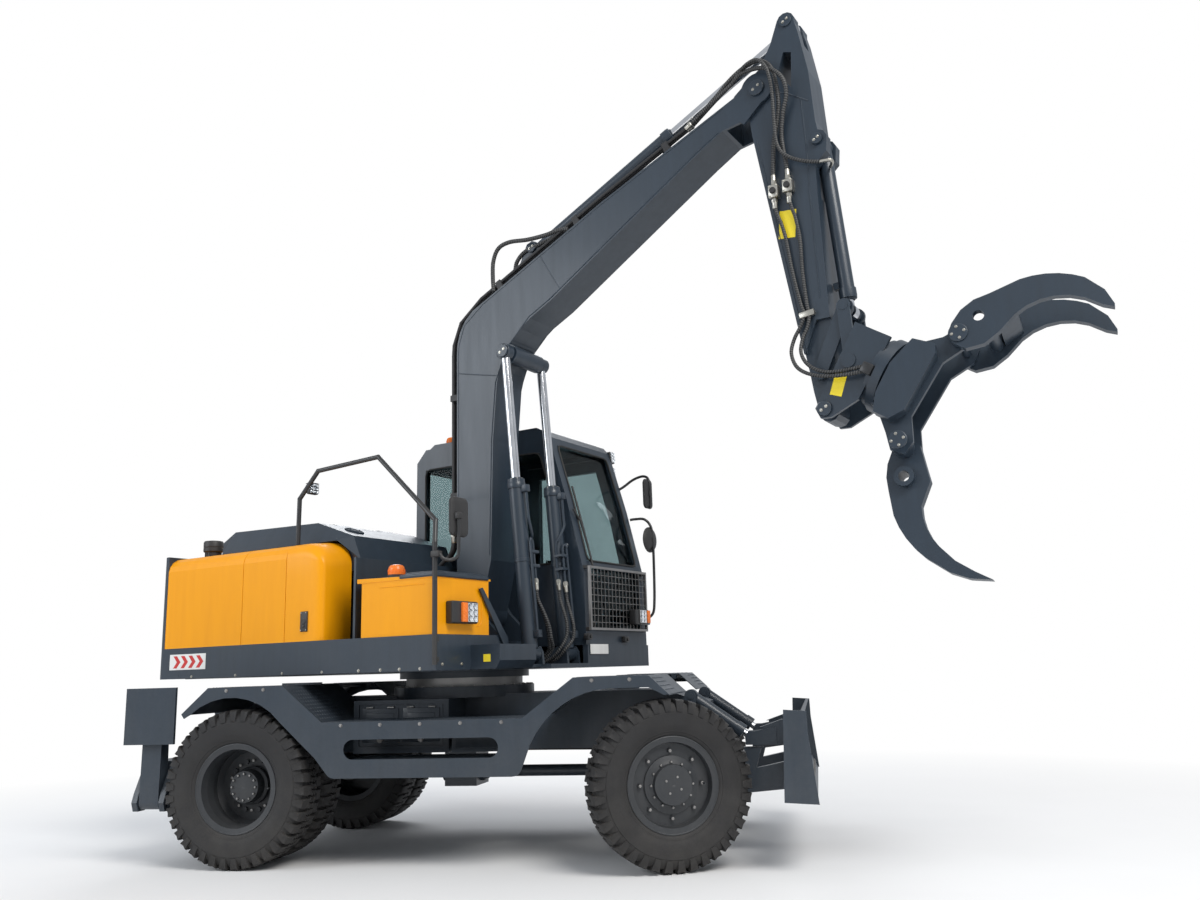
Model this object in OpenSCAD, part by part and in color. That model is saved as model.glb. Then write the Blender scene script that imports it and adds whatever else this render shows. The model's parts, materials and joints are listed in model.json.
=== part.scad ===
// Wheeled excavator of the twelve-tonne class with a rotating log grapple.
// X points to the blade, Y to the machine's left and Z up. The origin lies on the ground
// under the swing axis. The upper machine is drawn straight ahead and then turned by swing_rest.

/* [Undercarriage] */
// Distance from the rear axle to the front axle
wheelbase = 2880; // [2760:10:2960]
// How far the rear axle lies behind the swing axis
rear_axle_back = 1240; // [1200:10:1280]
// Outside diameter of every tyre, out to the tips of its lugs
tyre_d = 1055; // [1030:5:1070]
// Width of one tyre
tyre_w = 270; // [250:2:280]
// Distance from the centreline to the middle of an outer rear tyre
rear_tyre_y = 1082; // [1075:1:1090]
// Distance between the two tyres of a twin wheel
twin_pitch = 320; // [310:2:330]
// Distance from the centreline to the middle of a front tyre, wheels straight
front_tyre_y = 1110; // [1100:2:1125]
// Distance from the centreline to a king pin
king_pin_y = 905; // [895:1:915]
// Angle that the front wheels are turned to the left as parked
steer_rest = 25; // [0:1:28]
// Width of the box frame
frame_w = 660; // [620:10:700]
// Height of the top of the box frame
frame_top = 1100; // [1080:5:1110]
// Distance from the centreline to the outside of the step plates
step_y = 1212; // [1200:2:1220]
// Height of the fender tops
fender_top = 1205; // [1195:1:1212]
// Height of the step between the wheels
step_top = 955; // [930:5:980]
// Thickness of the fender and step plates
plate_t = 8; // [5:1:10]

/* [Blade and outriggers] */
// Half width of the blade
blade_half = 1228; // [1180:2:1250]
// Height of the blade's front edge as parked
blade_rise = 410; // [400:2:420]
// Height of the outriggers' pins
outrigger_pin_z = 430; // [420:2:450]
// Length of an outrigger from its pin to the foot's pin
outrigger_len = 590; // [560:5:600]
// Side of an outrigger's foot plate
foot_side = 390; // [340:5:400]

/* [Upper machine] */
// Angle that the upper machine is turned to the right as parked
swing_rest = -20; // [-30:1:0]
// Height of the deck's underside
deck_z = 1272; // [1268:1:1280]
// Height of the deck's skirt
deck_h = 238; // [230:2:246]
// Half width of the upper machine
upper_half = 1215; // [1205:1:1220]
// Distance from the swing axis to the back of the counterweight
tail_r = 2190; // [2150:10:2220]
// Height of the yellow side panels
panel_h = 715; // [690:5:730]
// Thickness of the side panels
panel_t = 22; // [12:1:30]

/* [Cab] */
// Right side of the cab, measured from the swing axis to the left
cab_right = 268; // [266:1:272]
// Height of the cab's roof
cab_top = 3200; // [3150:5:3230]
// Thickness of the cab's walls
wall_t = 50; // [40:1:60]
// Thickness of the window glass
glass_t = 6; // [5:1:8]

/* [Boom and arm] */
// How far the boom's centreline lies to the right of the swing axis
boom_off = 50; // [45:1:55]
// Width of the boom
boom_w = 330; // [320:2:340]
// Half distance between the two boom cylinders
boom_cyl_y = 240; // [238:1:242]
// Outside diameter of a boom cylinder's barrel
boom_barrel_d = 118; // [110:1:122]
// Diameter of a boom cylinder's rod
boom_rod_d = 70; // [60:1:75]
// Width of the arm
arm_w = 270; // [260:2:276]
// Outside diameter of the arm cylinder's barrel
arm_barrel_d = 108; // [100:1:112]
// Outside diameter of the tool cylinder's barrel
tool_barrel_d = 100; // [90:1:104]

/* [Grapple] */
// Angle that the grapple is turned about its rotor as parked
rotor_rest = -8; // [-15:1:0]
// Radius of the rotor's collar
collar_r = 250; // [235:1:260]
// Half distance between the two tines of the upper jaw
tine_y = 190; // [180:1:205]
// Thickness of a tine
tine_t = 50; // [40:1:55]

/* [Hidden] */
$fn = 48;

// Shared clearances
pin_gap = 0.06;
run_gap = 6;
seat_gap = 0.3;
bend_extra = 0.8;

tyre_r = tyre_d / 2;
axle_z = tyre_r;
rear_x = -rear_axle_back;
front_x = rear_x + wheelbase;
frame_half = frame_w / 2;
sides = [-1, 1];

// Joints of the digging gear in the plane of the boom: [forward, up]
boom_foot = [215, 1700];
boom_cyl_foot = [835, 1378];
boom_cyl_head = [640, 3686];
arm_pin = [2812, 5243];
arm_cyl_foot = [800, 4564];
arm_cyl_head = [3049, 5704];
tool_pin = [3143, 2845];
idler_pin = [3112, 3111];
link_pin = [3324, 3133];
rod_pin = [3306, 3520];
tool_cyl_foot = [3210, 4740];
rotor_mid = [3502, 3044];
rotor_tilt = -33;

// Jaw pivots in the grapple's own plane: [along the rotor axis, across it]
jaw_pin_upper = [340, 372];
jaw_pin_lower = [352, -380];

yellow = [0.93, 0.58, 0.05];
slate = [0.22, 0.27, 0.32];
black = [0.05, 0.05, 0.055];
steel = [0.75, 0.76, 0.78];
amber = [0.95, 0.4, 0.05];

// Geometry helpers

function unit(v) = v / norm(v);
function cross2(a, b) = a[0] * b[1] - a[1] * b[0];
function meet(p, d, q, e) = p + d * (cross2(q - p, e) / cross2(d, e));
function left_of(d) = [-d[1], d[0]];
// A convex outline, given counterclockwise, with every side moved inwards by t
function inset(pts, t) = [
    for (i = [0 : len(pts) - 1])
        let (a = pts[(i + len(pts) - 1) % len(pts)], b = pts[i], c = pts[(i + 1) % len(pts)],
            d = unit(b - a), e = unit(c - b))
            meet(b + left_of(d) * t, d, b + left_of(e) * t, e)
];
// Points of the arc from a through b to c, in n steps
function arc3(a, b, c, n) =
    let (ab = (a + b) / 2, bc = (b + c) / 2,
        m = meet(ab, left_of(b - a), bc, left_of(c - b)),
        r = norm(a - m), wa = atan2(a[1] - m[1], a[0] - m[0]),
        wc = atan2(c[1] - m[1], c[0] - m[0]),
        turn = cross2(b - a, c - b) > 0 ? 1 : -1,
        sweep = turn * ((turn * (wc - wa) + 720) % 360))
        [for (i = [0 : n]) m + r * [cos(wa + sweep * i / n), sin(wa + sweep * i / n)]];
// A corner of an outline rounded by an arc of radius r, in n steps
function round_at(a, b, c, r, n) =
    let (d = unit(a - b), e = unit(c - b), half = acos(d * e) / 2,
        m = b + unit(d + e) * (r / sin(half)), t = r / tan(half),
        p = b + d * t, q = b + e * t, mid = m - unit(d + e) * r)
        arc3(p, mid, q, n);

// A flat outline in the XZ plane, thickened from y to y + t
module slab(y, t) {
    translate([0, y + t, 0]) rotate([90, 0, 0]) linear_extrude(t) children();
}

// A flat outline in the XZ plane, thickened evenly about y
module mid_slab(y, t) {
    slab(y - t / 2, t) children();
}

// A round bar along Y about the point [x, z]
module bar_y(p, r, y, t) {
    translate([p[0], y + t, p[1]]) rotate([90, 0, 0]) cylinder(r = r, h = t);
}

module mid_bar(p, r, y, t) {
    bar_y(p, r, y - t / 2, t);
}

// A straight round rod between two points
module rod(a, b, r) {
    d = b - a;
    translate(a) rotate([0, acos(d[2] / norm(d)), atan2(d[1], d[0])]) cylinder(r = r, h = norm(d));
}

// A bent tube through the given points
module tube(pts, r) {
    for (i = [0 : len(pts) - 2]) rod(pts[i], pts[i + 1], r);
    for (i = [1 : len(pts) - 2]) translate(pts[i]) sphere(r = r + bend_extra);
}

module box(lo, hi) {
    translate(lo) cube(hi - lo);
}

// Whatever is drawn straight ahead, turned with the upper machine
module upper() {
    rotate([0, 0, swing_rest]) children();
}

// Drawn in the boom's plane, y = 0 being the boom's centreline
module boom_plane() {
    upper() translate([0, -boom_off, 0]) children();
}

// Drawn along the line from a to b in the boom's plane, starting at a
module along(a, b) {
    translate([a[0], 0, a[1]]) rotate([0, -atan2(b[1] - a[1], b[0] - a[0]), 0]) children();
}

// Undercarriage

frame_bottom = 700;
frame_rear = rear_x - 460;
frame_front = front_x + 260;
ring_bottom = 1160;
ring_top = 1216;
ring_r = 500;
beam_rear = rear_x - 870;
ear_gap = 150;
outrigger_x = rear_x - 715;
outrigger_y = 1050;
blade_pin = [front_x + 320, 470];
blade_arm_y = 450;
blade_cyl_foot = [front_x + 185, 1050];
blade_cyl_head = [front_x + 585, 765];
blade_x = front_x + 1015;
beam_front = rear_x - 550;

module chassis() {
    color(slate) difference() {
        union() {
            mid_slab(0, frame_w) polygon([[frame_rear, 760], [frame_rear, 1050], [rear_x - 260, frame_top],
                [front_x - 40, frame_top], [frame_front, 1000], [frame_front, frame_bottom], [rear_x - 320, frame_bottom]]);
            translate([0, 0, frame_top - 20]) cylinder(r = ring_r + 40, h = ring_bottom - frame_top + 20);
            // Cross beam at the rear that carries the outriggers
            box([beam_front - 10, -560, 480], [frame_rear + 20, 560, 1050]);
            box([beam_rear + 40, -960, 520], [beam_front, 960, 700]);
            for (s = sides) for (w = [-1, 1])
                outrigger_ear(s, w);
        }
        // Tow eye down through the rear beam
        translate([beam_rear + 75, 0, 610]) cylinder(r = 26, h = 400, center = true);
    }
    color(steel) for (s = sides) translate([outrigger_x - 130, s * outrigger_y, outrigger_pin_z])
        rotate([0, 90, 0]) cylinder(r = 25, h = 260);
}

// Cross box at the front of the frame, with the ears of the blade and its cylinders
module blade_carrier() {
    color(slate) difference() {
        union() {
            box([frame_front - 60, -520, 400], [frame_front - 8, 520, 860]);
            box([frame_front - 170, -530, 850], [frame_front - 45, 530, 945]);
            for (s = sides) for (w = [-1, 1]) {
                mid_slab(s * blade_arm_y + w * 48, 18) polygon([[frame_front - 30, 400], [blade_pin[0] + 20, 405],
                    [blade_pin[0] + 62, 450], [blade_pin[0] + 50, 520], [frame_front - 30, 600]]);
                mid_slab(s * blade_arm_y + w * 57, 18) polygon([[blade_cyl_foot[0] - 75, 940],
                    [blade_cyl_foot[0] + 30, 940], blade_cyl_foot + [36, 6], blade_cyl_foot + [18, 34],
                    blade_cyl_foot + [-18, 34], blade_cyl_foot + [-36, 6]]);
            }
        }
        // Room for the frame's end
        box([frame_front - 300, -frame_w / 2 - 0.3, frame_bottom - 0.3], [frame_front + 1, frame_w / 2 + 0.3, 1200]);
    }
    color(steel) for (s = sides) {
        mid_bar(blade_pin, 25, s * blade_arm_y, 124);
        mid_bar(blade_cyl_foot, 20, s * blade_arm_y, 144);
    }
}

module outrigger_ear(s, w) {
    ear_t = 40;
    x = outrigger_x + w * (ear_gap / 2 + ear_t / 2 + 10);
    translate([x - ear_t / 2, 0, 0]) rotate([90, 0, 90]) linear_extrude(ear_t)
        polygon([[s * 900, 700], [s * 900, 480], [s * (outrigger_y - 40), outrigger_pin_z - 60],
            [s * (outrigger_y + 40), outrigger_pin_z - 60], [s * (outrigger_y + 62), outrigger_pin_z],
            [s * (outrigger_y + 40), outrigger_pin_z + 60], [s * (outrigger_y - 40), 640], [s * 940, 700]]);
}

// Step and fender outline of one side, from the rear to the front: [x, z]
step_line = [[rear_x - 422, 1030], [rear_x - 225, fender_top], [rear_x + 335, fender_top],
    [rear_x + 633, step_top], [front_x - 840, step_top], [front_x - 495, fender_top],
    [front_x + 3, fender_top], [front_x + 130, 1085]];
arch_rear = arc3([rear_x - 360, 1022], [rear_x + 16, 1131], [rear_x + 323, 964], 8);
arch_front = arc3([front_x - 791, 785], [front_x - 552, 1045], [front_x - 252, 1130], 8);

module step_side() {
    a = [front_x - 791, 785];
    b = [front_x - 865, 590];
    c = [rear_x + 700, 590];
    d = [rear_x + 588, 724];
    polygon(concat(step_line, [[front_x + 100, 1080], [front_x, 1130]],
        [for (i = [len(arch_front) - 1 : -1 : 0]) arch_front[i]], round_at(a, b, c, 70, 4), round_at(b, c, d, 70, 4),
        [d], [for (i = [len(arch_rear) - 1 : -1 : 0]) arch_rear[i]], [[rear_x - 400, 1000]]));
}

slot_rear = rear_x + 795;
slot_front = front_x - 1004;

module slot(x0, x1, z0, z1) {
    r = (z1 - z0) / 2;
    for (p = [[x0 + r, z0 + r], [x1 - r, z0 + r]]) translate(p) circle(r = r);
    translate([x0 + r, z0]) square([x1 - x0 - 2 * r, z1 - z0]);
}

module steps() {
    color(slate) for (s = sides) {
        difference() {
            slab(s > 0 ? step_y - plate_t : -step_y, plate_t) step_side();
            slab(s > 0 ? step_y - 20 : -step_y - 20, 40) slot(slot_rear, slot_front, 710, 839);
        }
        // Fender and step tops between the side plate and the frame
        for (i = [0 : len(step_line) - 2]) {
            a = step_line[i];
            b = step_line[i + 1];
            inner = i == 3 ? 720 : frame_half;
            y0 = s > 0 ? inner : -step_y + plate_t;
            slab(y0, step_y - plate_t - inner) polygon([a, b, b + [0, -plate_t], a + [0, -plate_t]]);
        }
        // Lower tread of the step
        y1 = s > 0 ? 760 : -step_y + plate_t;
        box([slot_rear + 5, y1, 690], [slot_front, y1 + step_y - plate_t - 760, 705]);
    }
}

module tool_boxes() {
    color(slate) for (s = sides) {
        y0 = s > 0 ? frame_half : -712;
        difference() {
            box([-600, y0, 712], [120, y0 + 712 - frame_half, 1080]);
            slab(s > 0 ? 700 : -712 - 8, 20) polygon([[-560, 760], [80, 760], [80, 1050], [-560, 1050]]);
        }
        y2 = s > 0 ? 690 : -708;
        box([-555, y2, 765], [75, y2 + 18, 1045]);
        y3 = s > 0 ? frame_half : -700;
        box([140, y3, 712], [560, y3 + 700 - frame_half, 940]);
    }
}

module slewing_ring() {
    color(steel) difference() {
        translate([0, 0, ring_bottom]) cylinder(r = ring_r - 50 - seat_gap, h = ring_top - ring_bottom + 30);
        translate([0, 0, ring_bottom - 1]) cylinder(r = ring_r - 130, h = 200);
    }
}

yoke_r = 78;
shaft_z = 520;
flange = 176;
yoke_in = 118;

module rear_axle() {
    hub_in = rear_tyre_y - twin_pitch - tyre_w / 2 - 30;
    color(slate) {
        translate([rear_x, 0, axle_z]) rotate([90, 0, 0]) cylinder(r = 95, h = 2 * hub_in, center = true);
        translate([rear_x, 0, axle_z]) rotate([90, 0, 0])
            cylinder(r = stub_r, h = 2 * (rear_tyre_y - twin_pitch / 2 - 50), center = true);
        translate([rear_x, 0, axle_z]) sphere(r = 165);
        rod([rear_x + 60, 0, shaft_z], [rear_x + flange, 0, shaft_z], 62);
        for (s = sides) box([rear_x - 90, s * 230 - 60, axle_z + 60], [rear_x + 90, s * 230 + 60, frame_bottom]);
    }
}

module front_axle() {
    color(slate) difference() {
        union() {
            translate([front_x, 0, axle_z]) rotate([90, 0, 0])
                cylinder(r = 88, h = 2 * (king_pin_y - 150), center = true);
            translate([front_x, 60, axle_z]) sphere(r = 160);
            rod([front_x - 60, 0, shaft_z], [front_x - flange, 0, shaft_z], 62);
            box([front_x - 90, -110, axle_z + 60], [front_x + 90, 110, frame_bottom]);
            for (s = sides) {
                box([front_x - 85, s * (king_pin_y - 155) - 35, axle_z - yoke_in - 40],
                    [front_x + 85, s * (king_pin_y - 155) + 35, axle_z + yoke_in + 40]);
                for (w = [-1, 1]) translate([front_x, s * king_pin_y, axle_z + w * (yoke_in + 20)]) {
                    cylinder(r = yoke_r, h = 40, center = true);
                    translate([-yoke_r, s > 0 ? -155 : 0, -20]) cube([2 * yoke_r, 155, 40]);
                }
            }
        }
        for (s = sides) translate([front_x, s * king_pin_y, 0]) cylinder(r = 28, h = 2 * axle_z);
    }
}

module drive_line() {
    gear_mid = 20;
    color(slate) {
        box([-110, -150, 425], [140, 150, frame_bottom]);
        rod([gear_mid + 110, 0, shaft_z], [front_x - flange, 0, shaft_z], 42);
        rod([gear_mid - 120, 0, shaft_z], [rear_x + flange, 0, shaft_z], 42);
    }
}

// Wheels: sections in [radius, distance along the wheel's axis], outside at +

rim_r = 300;
stub_r = 45;
rim_w = 216;

function rim_section() = [[rim_r, -rim_w / 2], [rim_r, -rim_w / 2 + 16], [rim_r - 28, -rim_w / 2 + 24],
    [rim_r - 34, -40], [rim_r - 34, 40], [rim_r - 28, rim_w / 2 - 24], [rim_r, rim_w / 2 - 16],
    [rim_r, rim_w / 2], [rim_r - 40, rim_w / 2 - 8], [rim_r - 50, 40], [rim_r - 50, -40],
    [rim_r - 40, -rim_w / 2 + 8]];

module spin() {
    rotate([-90, 0, 0]) rotate_extrude($fn = 64) children();
}

lug_count = 22;
lug_height = 24;

// Outline of one half of the tread, its lugs turned on by phase of a pitch
module tread_ring(phase) {
    pitch = 360 / lug_count;
    tip_r = tyre_r / cos(0.24 * pitch);
    root_r = tyre_r - lug_height;
    difference() {
        polygon([for (i = [0 : lug_count - 1])
            for (p = [[-0.29, root_r], [-0.24, tip_r], [0.24, tip_r], [0.29, root_r]])
                let (a = 90 + (i + phase + p[0]) * pitch) p[1] * [cos(a), sin(a)]]);
        circle(r = tyre_r - 120, $fn = 64);
    }
}

// Tyre about its own middle, axis along Y
module tyre() {
    h = tyre_w / 2;
    bead = rim_w / 2 - 17;
    crown = tyre_r - lug_height - 4;
    spin() polygon([[rim_r - 27.7, -bead + 8], [rim_r + 0.3, -bead], [rim_r + 20, -h + 12], [rim_r + 90, -h],
        [tyre_r - 75, -h], [crown, -h + 34], [crown, h - 34], [tyre_r - 75, h], [rim_r + 90, h],
        [rim_r + 20, h - 12], [rim_r + 0.3, bead], [rim_r - 27.7, bead - 8], [rim_r - 33.7, 40],
        [rim_r - 33.7, -40]]);
    for (k = [0, 1]) rotate([-90, 0, 0]) translate([0, 0, k == 0 ? 6 - h : -12])
        linear_extrude(h + 6) tread_ring(k / 2);
}

// The rear twin wheel of side s
module rear_wheel(s) {
    mid = rear_tyre_y - twin_pitch / 2;
    hub_in = rear_tyre_y - twin_pitch - tyre_w / 2 - 24;
    translate([rear_x, 0, axle_z]) mirror([0, s < 0 ? 1 : 0, 0]) {
        for (k = [0, 1]) translate([0, rear_tyre_y - k * twin_pitch, 0]) spin() polygon(rim_section());
        translate([0, mid, 0]) spin() polygon([[stub_r + pin_gap, hub_in - mid], [125, hub_in - mid], [130, 60],
            [112, 70], [105, 150], [0, 160], [0, -40], [stub_r + pin_gap, -40]]);
        translate([0, mid, 0]) spin() polygon([[120, -20], [rim_r - 70, -20], [rim_r - 42, -60], [rim_r - 30, -60],
            [rim_r - 30, 60], [rim_r - 42, 60], [rim_r - 70, 20], [120, 20]]);
        for (i = [0 : 9]) rotate([0, i * 36, 0]) translate([168, mid + 20, 0]) rotate([-90, 0, 0])
            cylinder(r = 16, h = 18, $fn = 6);
        for (i = [0 : 11]) rotate([0, i * 30, 0]) translate([88, mid + 150, 0]) rotate([-90, 0, 0])
            cylinder(r = 9, h = 12, $fn = 6);
    }
}

module rear_tyres(s) {
    for (k = [0, 1]) translate([rear_x, s * (rear_tyre_y - k * twin_pitch), axle_z]) tyre();
}

// Whatever turns with the front wheel of side s, drawn with the wheels straight
module steered(s) {
    translate([front_x, s * king_pin_y, axle_z]) rotate([0, 0, steer_rest]) children();
}

wheel_out = front_tyre_y - king_pin_y;

module front_wheel(s) {
    steered(s) mirror([0, s < 0 ? 1 : 0, 0]) translate([0, wheel_out, 0]) {
        spin() polygon(rim_section());
        spin() polygon([[stub_r + pin_gap, -60], [150, -60], [176, 30], [176, 62], [150, 70], [128, 78],
            [122, 112], [0, 118], [0, 20], [stub_r + pin_gap, 20]]);
        spin() polygon([[150, 22], [rim_r - 60, 22], [rim_r - 48, 10], [rim_r - 48, 46], [150, 46]]);
        for (i = [0 : 7]) rotate([0, i * 45, 0]) translate([205, 46, 0]) rotate([-90, 0, 0])
            cylinder(r = 15, h = 20, $fn = 6);
        for (i = [0 : 11]) rotate([0, i * 30, 0]) translate([138, 70, 0]) rotate([-90, 0, 0])
            cylinder(r = 9, h = 14, $fn = 6);
    }
}

module front_tyre(s) {
    steered(s) translate([0, s * wheel_out, 0]) tyre();
}

arm_back = 210;

module knuckle(s) {
    stub = wheel_out - 60 - 5;
    color(slate) steered(s) {
        cylinder(r = yoke_r - 6, h = 2 * yoke_in - 2 * run_gap, center = true);
        cylinder(r = 28 - pin_gap, h = 2 * yoke_in + 80, center = true);
        rod([0, 0, 0], [0, s * stub, 0], 68);
        rod([0, 0, 0], [0, s * (stub + 80), 0], stub_r);
        // Steering arm towards the rear
        difference() {
            union() {
                box([-arm_back, -28, -70], [-40, 28, -40]);
                translate([-arm_back, 0, -70]) cylinder(r = 32, h = 30);
            }
            translate([-arm_back, 0, -100]) cylinder(r = 14, h = 100);
        }
    }
}

function steer_eye(s) = [front_x - arm_back * cos(steer_rest), s * king_pin_y - arm_back * sin(steer_rest),
    axle_z];

module tie_rod() {
    a = steer_eye(-1) + [0, 0, -96];
    b = steer_eye(1) + [0, 0, -96];
    color(slate) {
        rod(a, b, 18);
        for (p = [a, b]) {
            translate(p + [0, 0, -24]) cylinder(r = 30, h = 48);
            translate(p) cylinder(r = 14 - pin_gap, h = 62);
        }
    }
}

// Blade

module blade() {
    front = arc3([blade_x - 43, 960], [blade_x - 115, 700], [blade_x, blade_rise], 8);
    back = arc3([blade_x - 15, blade_rise + 12], [blade_x - 137, 700], [blade_x - 63, 966], 8);
    color(slate) difference() {
        union() {
            mid_slab(0, 2 * blade_half) polygon(concat(front, back));
            for (s = sides) {
                mid_slab(s * (blade_half - 8), 16) polygon([[blade_x - 175, 973], [blade_x - 35, 962],
                    [blade_x - 33, 820], [blade_x + 9, blade_rise], [blade_x - 201, blade_rise + 12]]);
                mid_slab(s * blade_arm_y, 64) polygon([[blade_pin[0], blade_pin[1] - 58],
                    [blade_pin[0] + 240, blade_pin[1] - 70], [blade_x - 115, 430], [blade_x - 115, 620],
                    [blade_x - 405, 560], [blade_x - 365, 690], [blade_x - 115, 720], [blade_x - 115, 880],
                    [blade_x - 215, 880], [blade_x - 455, 800], [blade_x - 485, 740], [blade_x - 475, 560],
                    [blade_pin[0], blade_pin[1] + 58]]);
                mid_bar(blade_pin, 58, s * blade_arm_y, 64);
                // Ears for the lift cylinder's rod
                for (w = [-1, 1]) mid_slab(s * blade_arm_y + w * 42, 20)
                    polygon([[blade_x - 465, 715], [blade_x - 255, 715], [blade_x - 255, 830], [blade_x - 405, 806],
                        [blade_x - 445, 806], [blade_x - 470, 770]]);
            }
            box([blade_x - 150, -blade_arm_y, 560], [blade_x - 115, blade_arm_y, 640]);
        }
        for (s = sides) mid_bar(blade_pin, 25 + pin_gap, s * blade_arm_y, 100);
        // Open slot between the ears for the rod's eye
        for (s = sides) mid_slab(s * blade_arm_y, 64) polygon([[blade_x - 515, 700], [blade_x - 345, 700],
            [blade_x - 345, 830], [blade_x - 515, 830]]);
    }
}

module blade_barrels() {
    color(slate) for (s = sides) translate([0, s * blade_arm_y, 0])
        along(blade_cyl_foot, blade_cyl_head) barrel(84, 430, 84, 20, 24, 110);
}

module blade_rods() {
    length = norm(blade_cyl_head - blade_cyl_foot);
    color(steel) for (s = sides) translate([0, s * blade_arm_y, 0])
        along(blade_cyl_foot, blade_cyl_head) piston(24, 130, length, 34, 56);
}

// Outriggers, folded up against the rear of the machine

module outrigger(s) {
    half = ear_gap / 2;
    top = outrigger_pin_z + outrigger_len;
    color(slate) difference() {
        union() {
            translate([outrigger_x - half, 0, 0]) rotate([90, 0, 90]) linear_extrude(ear_gap)
                polygon([[s * (outrigger_y - 50), outrigger_pin_z], [s * (outrigger_y + 50), outrigger_pin_z],
                    [s * (outrigger_y + 42), top - 60], [s * (outrigger_y - 42), top - 60]]);
            translate([outrigger_x - half, s * outrigger_y, outrigger_pin_z]) rotate([0, 90, 0])
                cylinder(r = 50, h = ear_gap);
            for (w = [-1, 1]) translate([outrigger_x + w * (half - 16) - 16, 0, 0]) rotate([90, 0, 90])
                linear_extrude(32) polygon([[s * (outrigger_y - 42), top - 80],
                    [s * (outrigger_y + 42), top - 80], [s * (outrigger_y + 36), top + 30],
                    [s * (outrigger_y - 36), top + 30]]);
        }
        translate([outrigger_x - 200, s * outrigger_y, outrigger_pin_z]) rotate([0, 90, 0])
            cylinder(r = 25 + pin_gap, h = 400);
        translate([outrigger_x - 200, s * outrigger_y, top]) rotate([0, 90, 0]) cylinder(r = 18, h = 400);
    }
}

module foot(s) {
    top = outrigger_pin_z + outrigger_len;
    out = outrigger_y + 66;
    color(slate) {
        translate([outrigger_x, s * (out + 12), top]) rotate([90, 0, 0]) linear_extrude(24, center = true)
            square([foot_side, foot_side], center = true);
        translate([outrigger_x - 34, 0, 0]) rotate([90, 0, 90]) linear_extrude(68)
            polygon([[s * (out + 4), top - 60], [s * (outrigger_y - 8), top - 34],
                [s * (outrigger_y - 34), top], [s * (outrigger_y - 8), top + 34], [s * (out + 4), top + 60]]);
        translate([outrigger_x - ear_gap / 2 - 8, s * outrigger_y, top]) rotate([0, 90, 0])
            cylinder(r = 18 - pin_gap, h = ear_gap + 16);
    }
}

// Upper machine

skirt_top = deck_z + deck_h;
hood_rear = -tail_r + 150;
hood_front = -10;
weight_front = -tail_r + 340;
panel_top = skirt_top + panel_h;
tank_top = 1885;
cab_floor = 1440;
ear_out = boom_w / 2 + run_gap;

ledge_y = -upper_half + 362;
ledge_w = 420;
ledge_top = skirt_top - 70;

module deck() {
    color(slate) {
        upper() {
            difference() {
                union() {
                    // Floor
                    linear_extrude_at(deck_z, 30) polygon([[weight_front, -upper_half + 60],
                        [730, -upper_half + 60], [730, -260], [980, -240], [980, upper_half - 10],
                        [-760, upper_half - 10], [weight_front, upper_half - 60]]);
                    // Skirts
                    box([weight_front, -upper_half, deck_z + 6], [735, -upper_half + 60, skirt_top]);
                    box([weight_front, upper_half - 60, deck_z + 6], [-770, upper_half, skirt_top]);
                    box([-770, upper_half - 60, deck_z + 6], [975, upper_half - 2, cab_floor]);
                    box([930, cab_right, deck_z + 6], [975, upper_half - 2, cab_floor]);
                    box([690, -upper_half, deck_z + 6], [735, -430, skirt_top]);
                    // Step ahead of the tank
                    slab(ledge_y, ledge_w) polygon([[728, deck_z + 6], [950, deck_z + 6], [985, deck_z + 60],
                        [985, ledge_top], [728, ledge_top]]);
                }
                translate([0, 0, deck_z - 1]) cylinder(r = 300, h = 60);
            }
            translate([0, 0, ring_top + 6]) difference() {
                cylinder(r = ring_r, h = deck_z - ring_top - 6);
                translate([0, 0, -1]) cylinder(r = ring_r - 50, h = 100);
            }
            // Brace from the tank's top corner down to the step
            translate([738, 0, 0]) rotate([90, 0, 90]) linear_extrude(14) polygon([[ledge_y + 85, ledge_top + 385],
                [ledge_y + 118, ledge_top + 395], [ledge_y + ledge_w - 10, ledge_top + 48],
                [ledge_y + ledge_w - 10, ledge_top - 2], [ledge_y + ledge_w - 60, ledge_top - 2]]);
            // Wall between the engine bay and the boom
            box([-60, -upper_half + 50, deck_z + 20], [-40, cab_right - 20, 2080]);
        }
        // Girders with the ears for the boom's foot and its cylinders
        boom_plane() difference() {
            union() {
                for (s = sides) {
                    mid_slab(s * (ear_out + 18), 36) polygon([[-1500, deck_z + 25], [560, deck_z + 25],
                        [560, 1500], [345, 1700], [boom_foot[0] + 70, 1790], [boom_foot[0] - 60, 1800],
                        [-40, 1640], [-500, skirt_top], [-1500, skirt_top]]);
                    for (w = [-1, 1]) mid_slab(s * boom_cyl_y + w * 77, 24) polygon([[540, deck_z + 20],
                        [900, deck_z + 10], boom_cyl_foot + [56, 10], boom_cyl_foot + [32, 52],
                        boom_cyl_foot + [-32, 52], [640, 1340], [540, 1340]]);
                }
                box([540, -boom_cyl_y - 89, deck_z + 10], [900, boom_cyl_y + 89, deck_z + 30]);
                mid_slab(0, 2 * ear_out + 2) polygon([[-1490, 1330], [540, 1330], [540, 1480], [-20, 1480],
                    [-60, 1500], [-1490, 1500]]);
            }
            mid_bar(boom_foot, 40 + pin_gap, 0, 600);
        }
    }
    color(steel) boom_plane() for (s = sides) mid_bar(boom_cyl_foot, 30, s * boom_cyl_y, 178);
}

module linear_extrude_at(z, h) {
    translate([0, 0, z]) linear_extrude(h) children();
}

// Outline of the tail behind x, seen from above
function tail(x, out) = let (bow = upper_half - 335) concat([[x, -out]], round_at([x, -out], [-tail_r + 85, -out], [-tail_r, -bow], 60, 4),
    arc3([-tail_r + 30, 20 - bow], [-tail_r, 0], [-tail_r + 30, bow - 20], 8),
    round_at([-tail_r, bow], [-tail_r + 85, out], [x, out], 60, 4), [[x, out]]);

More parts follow.
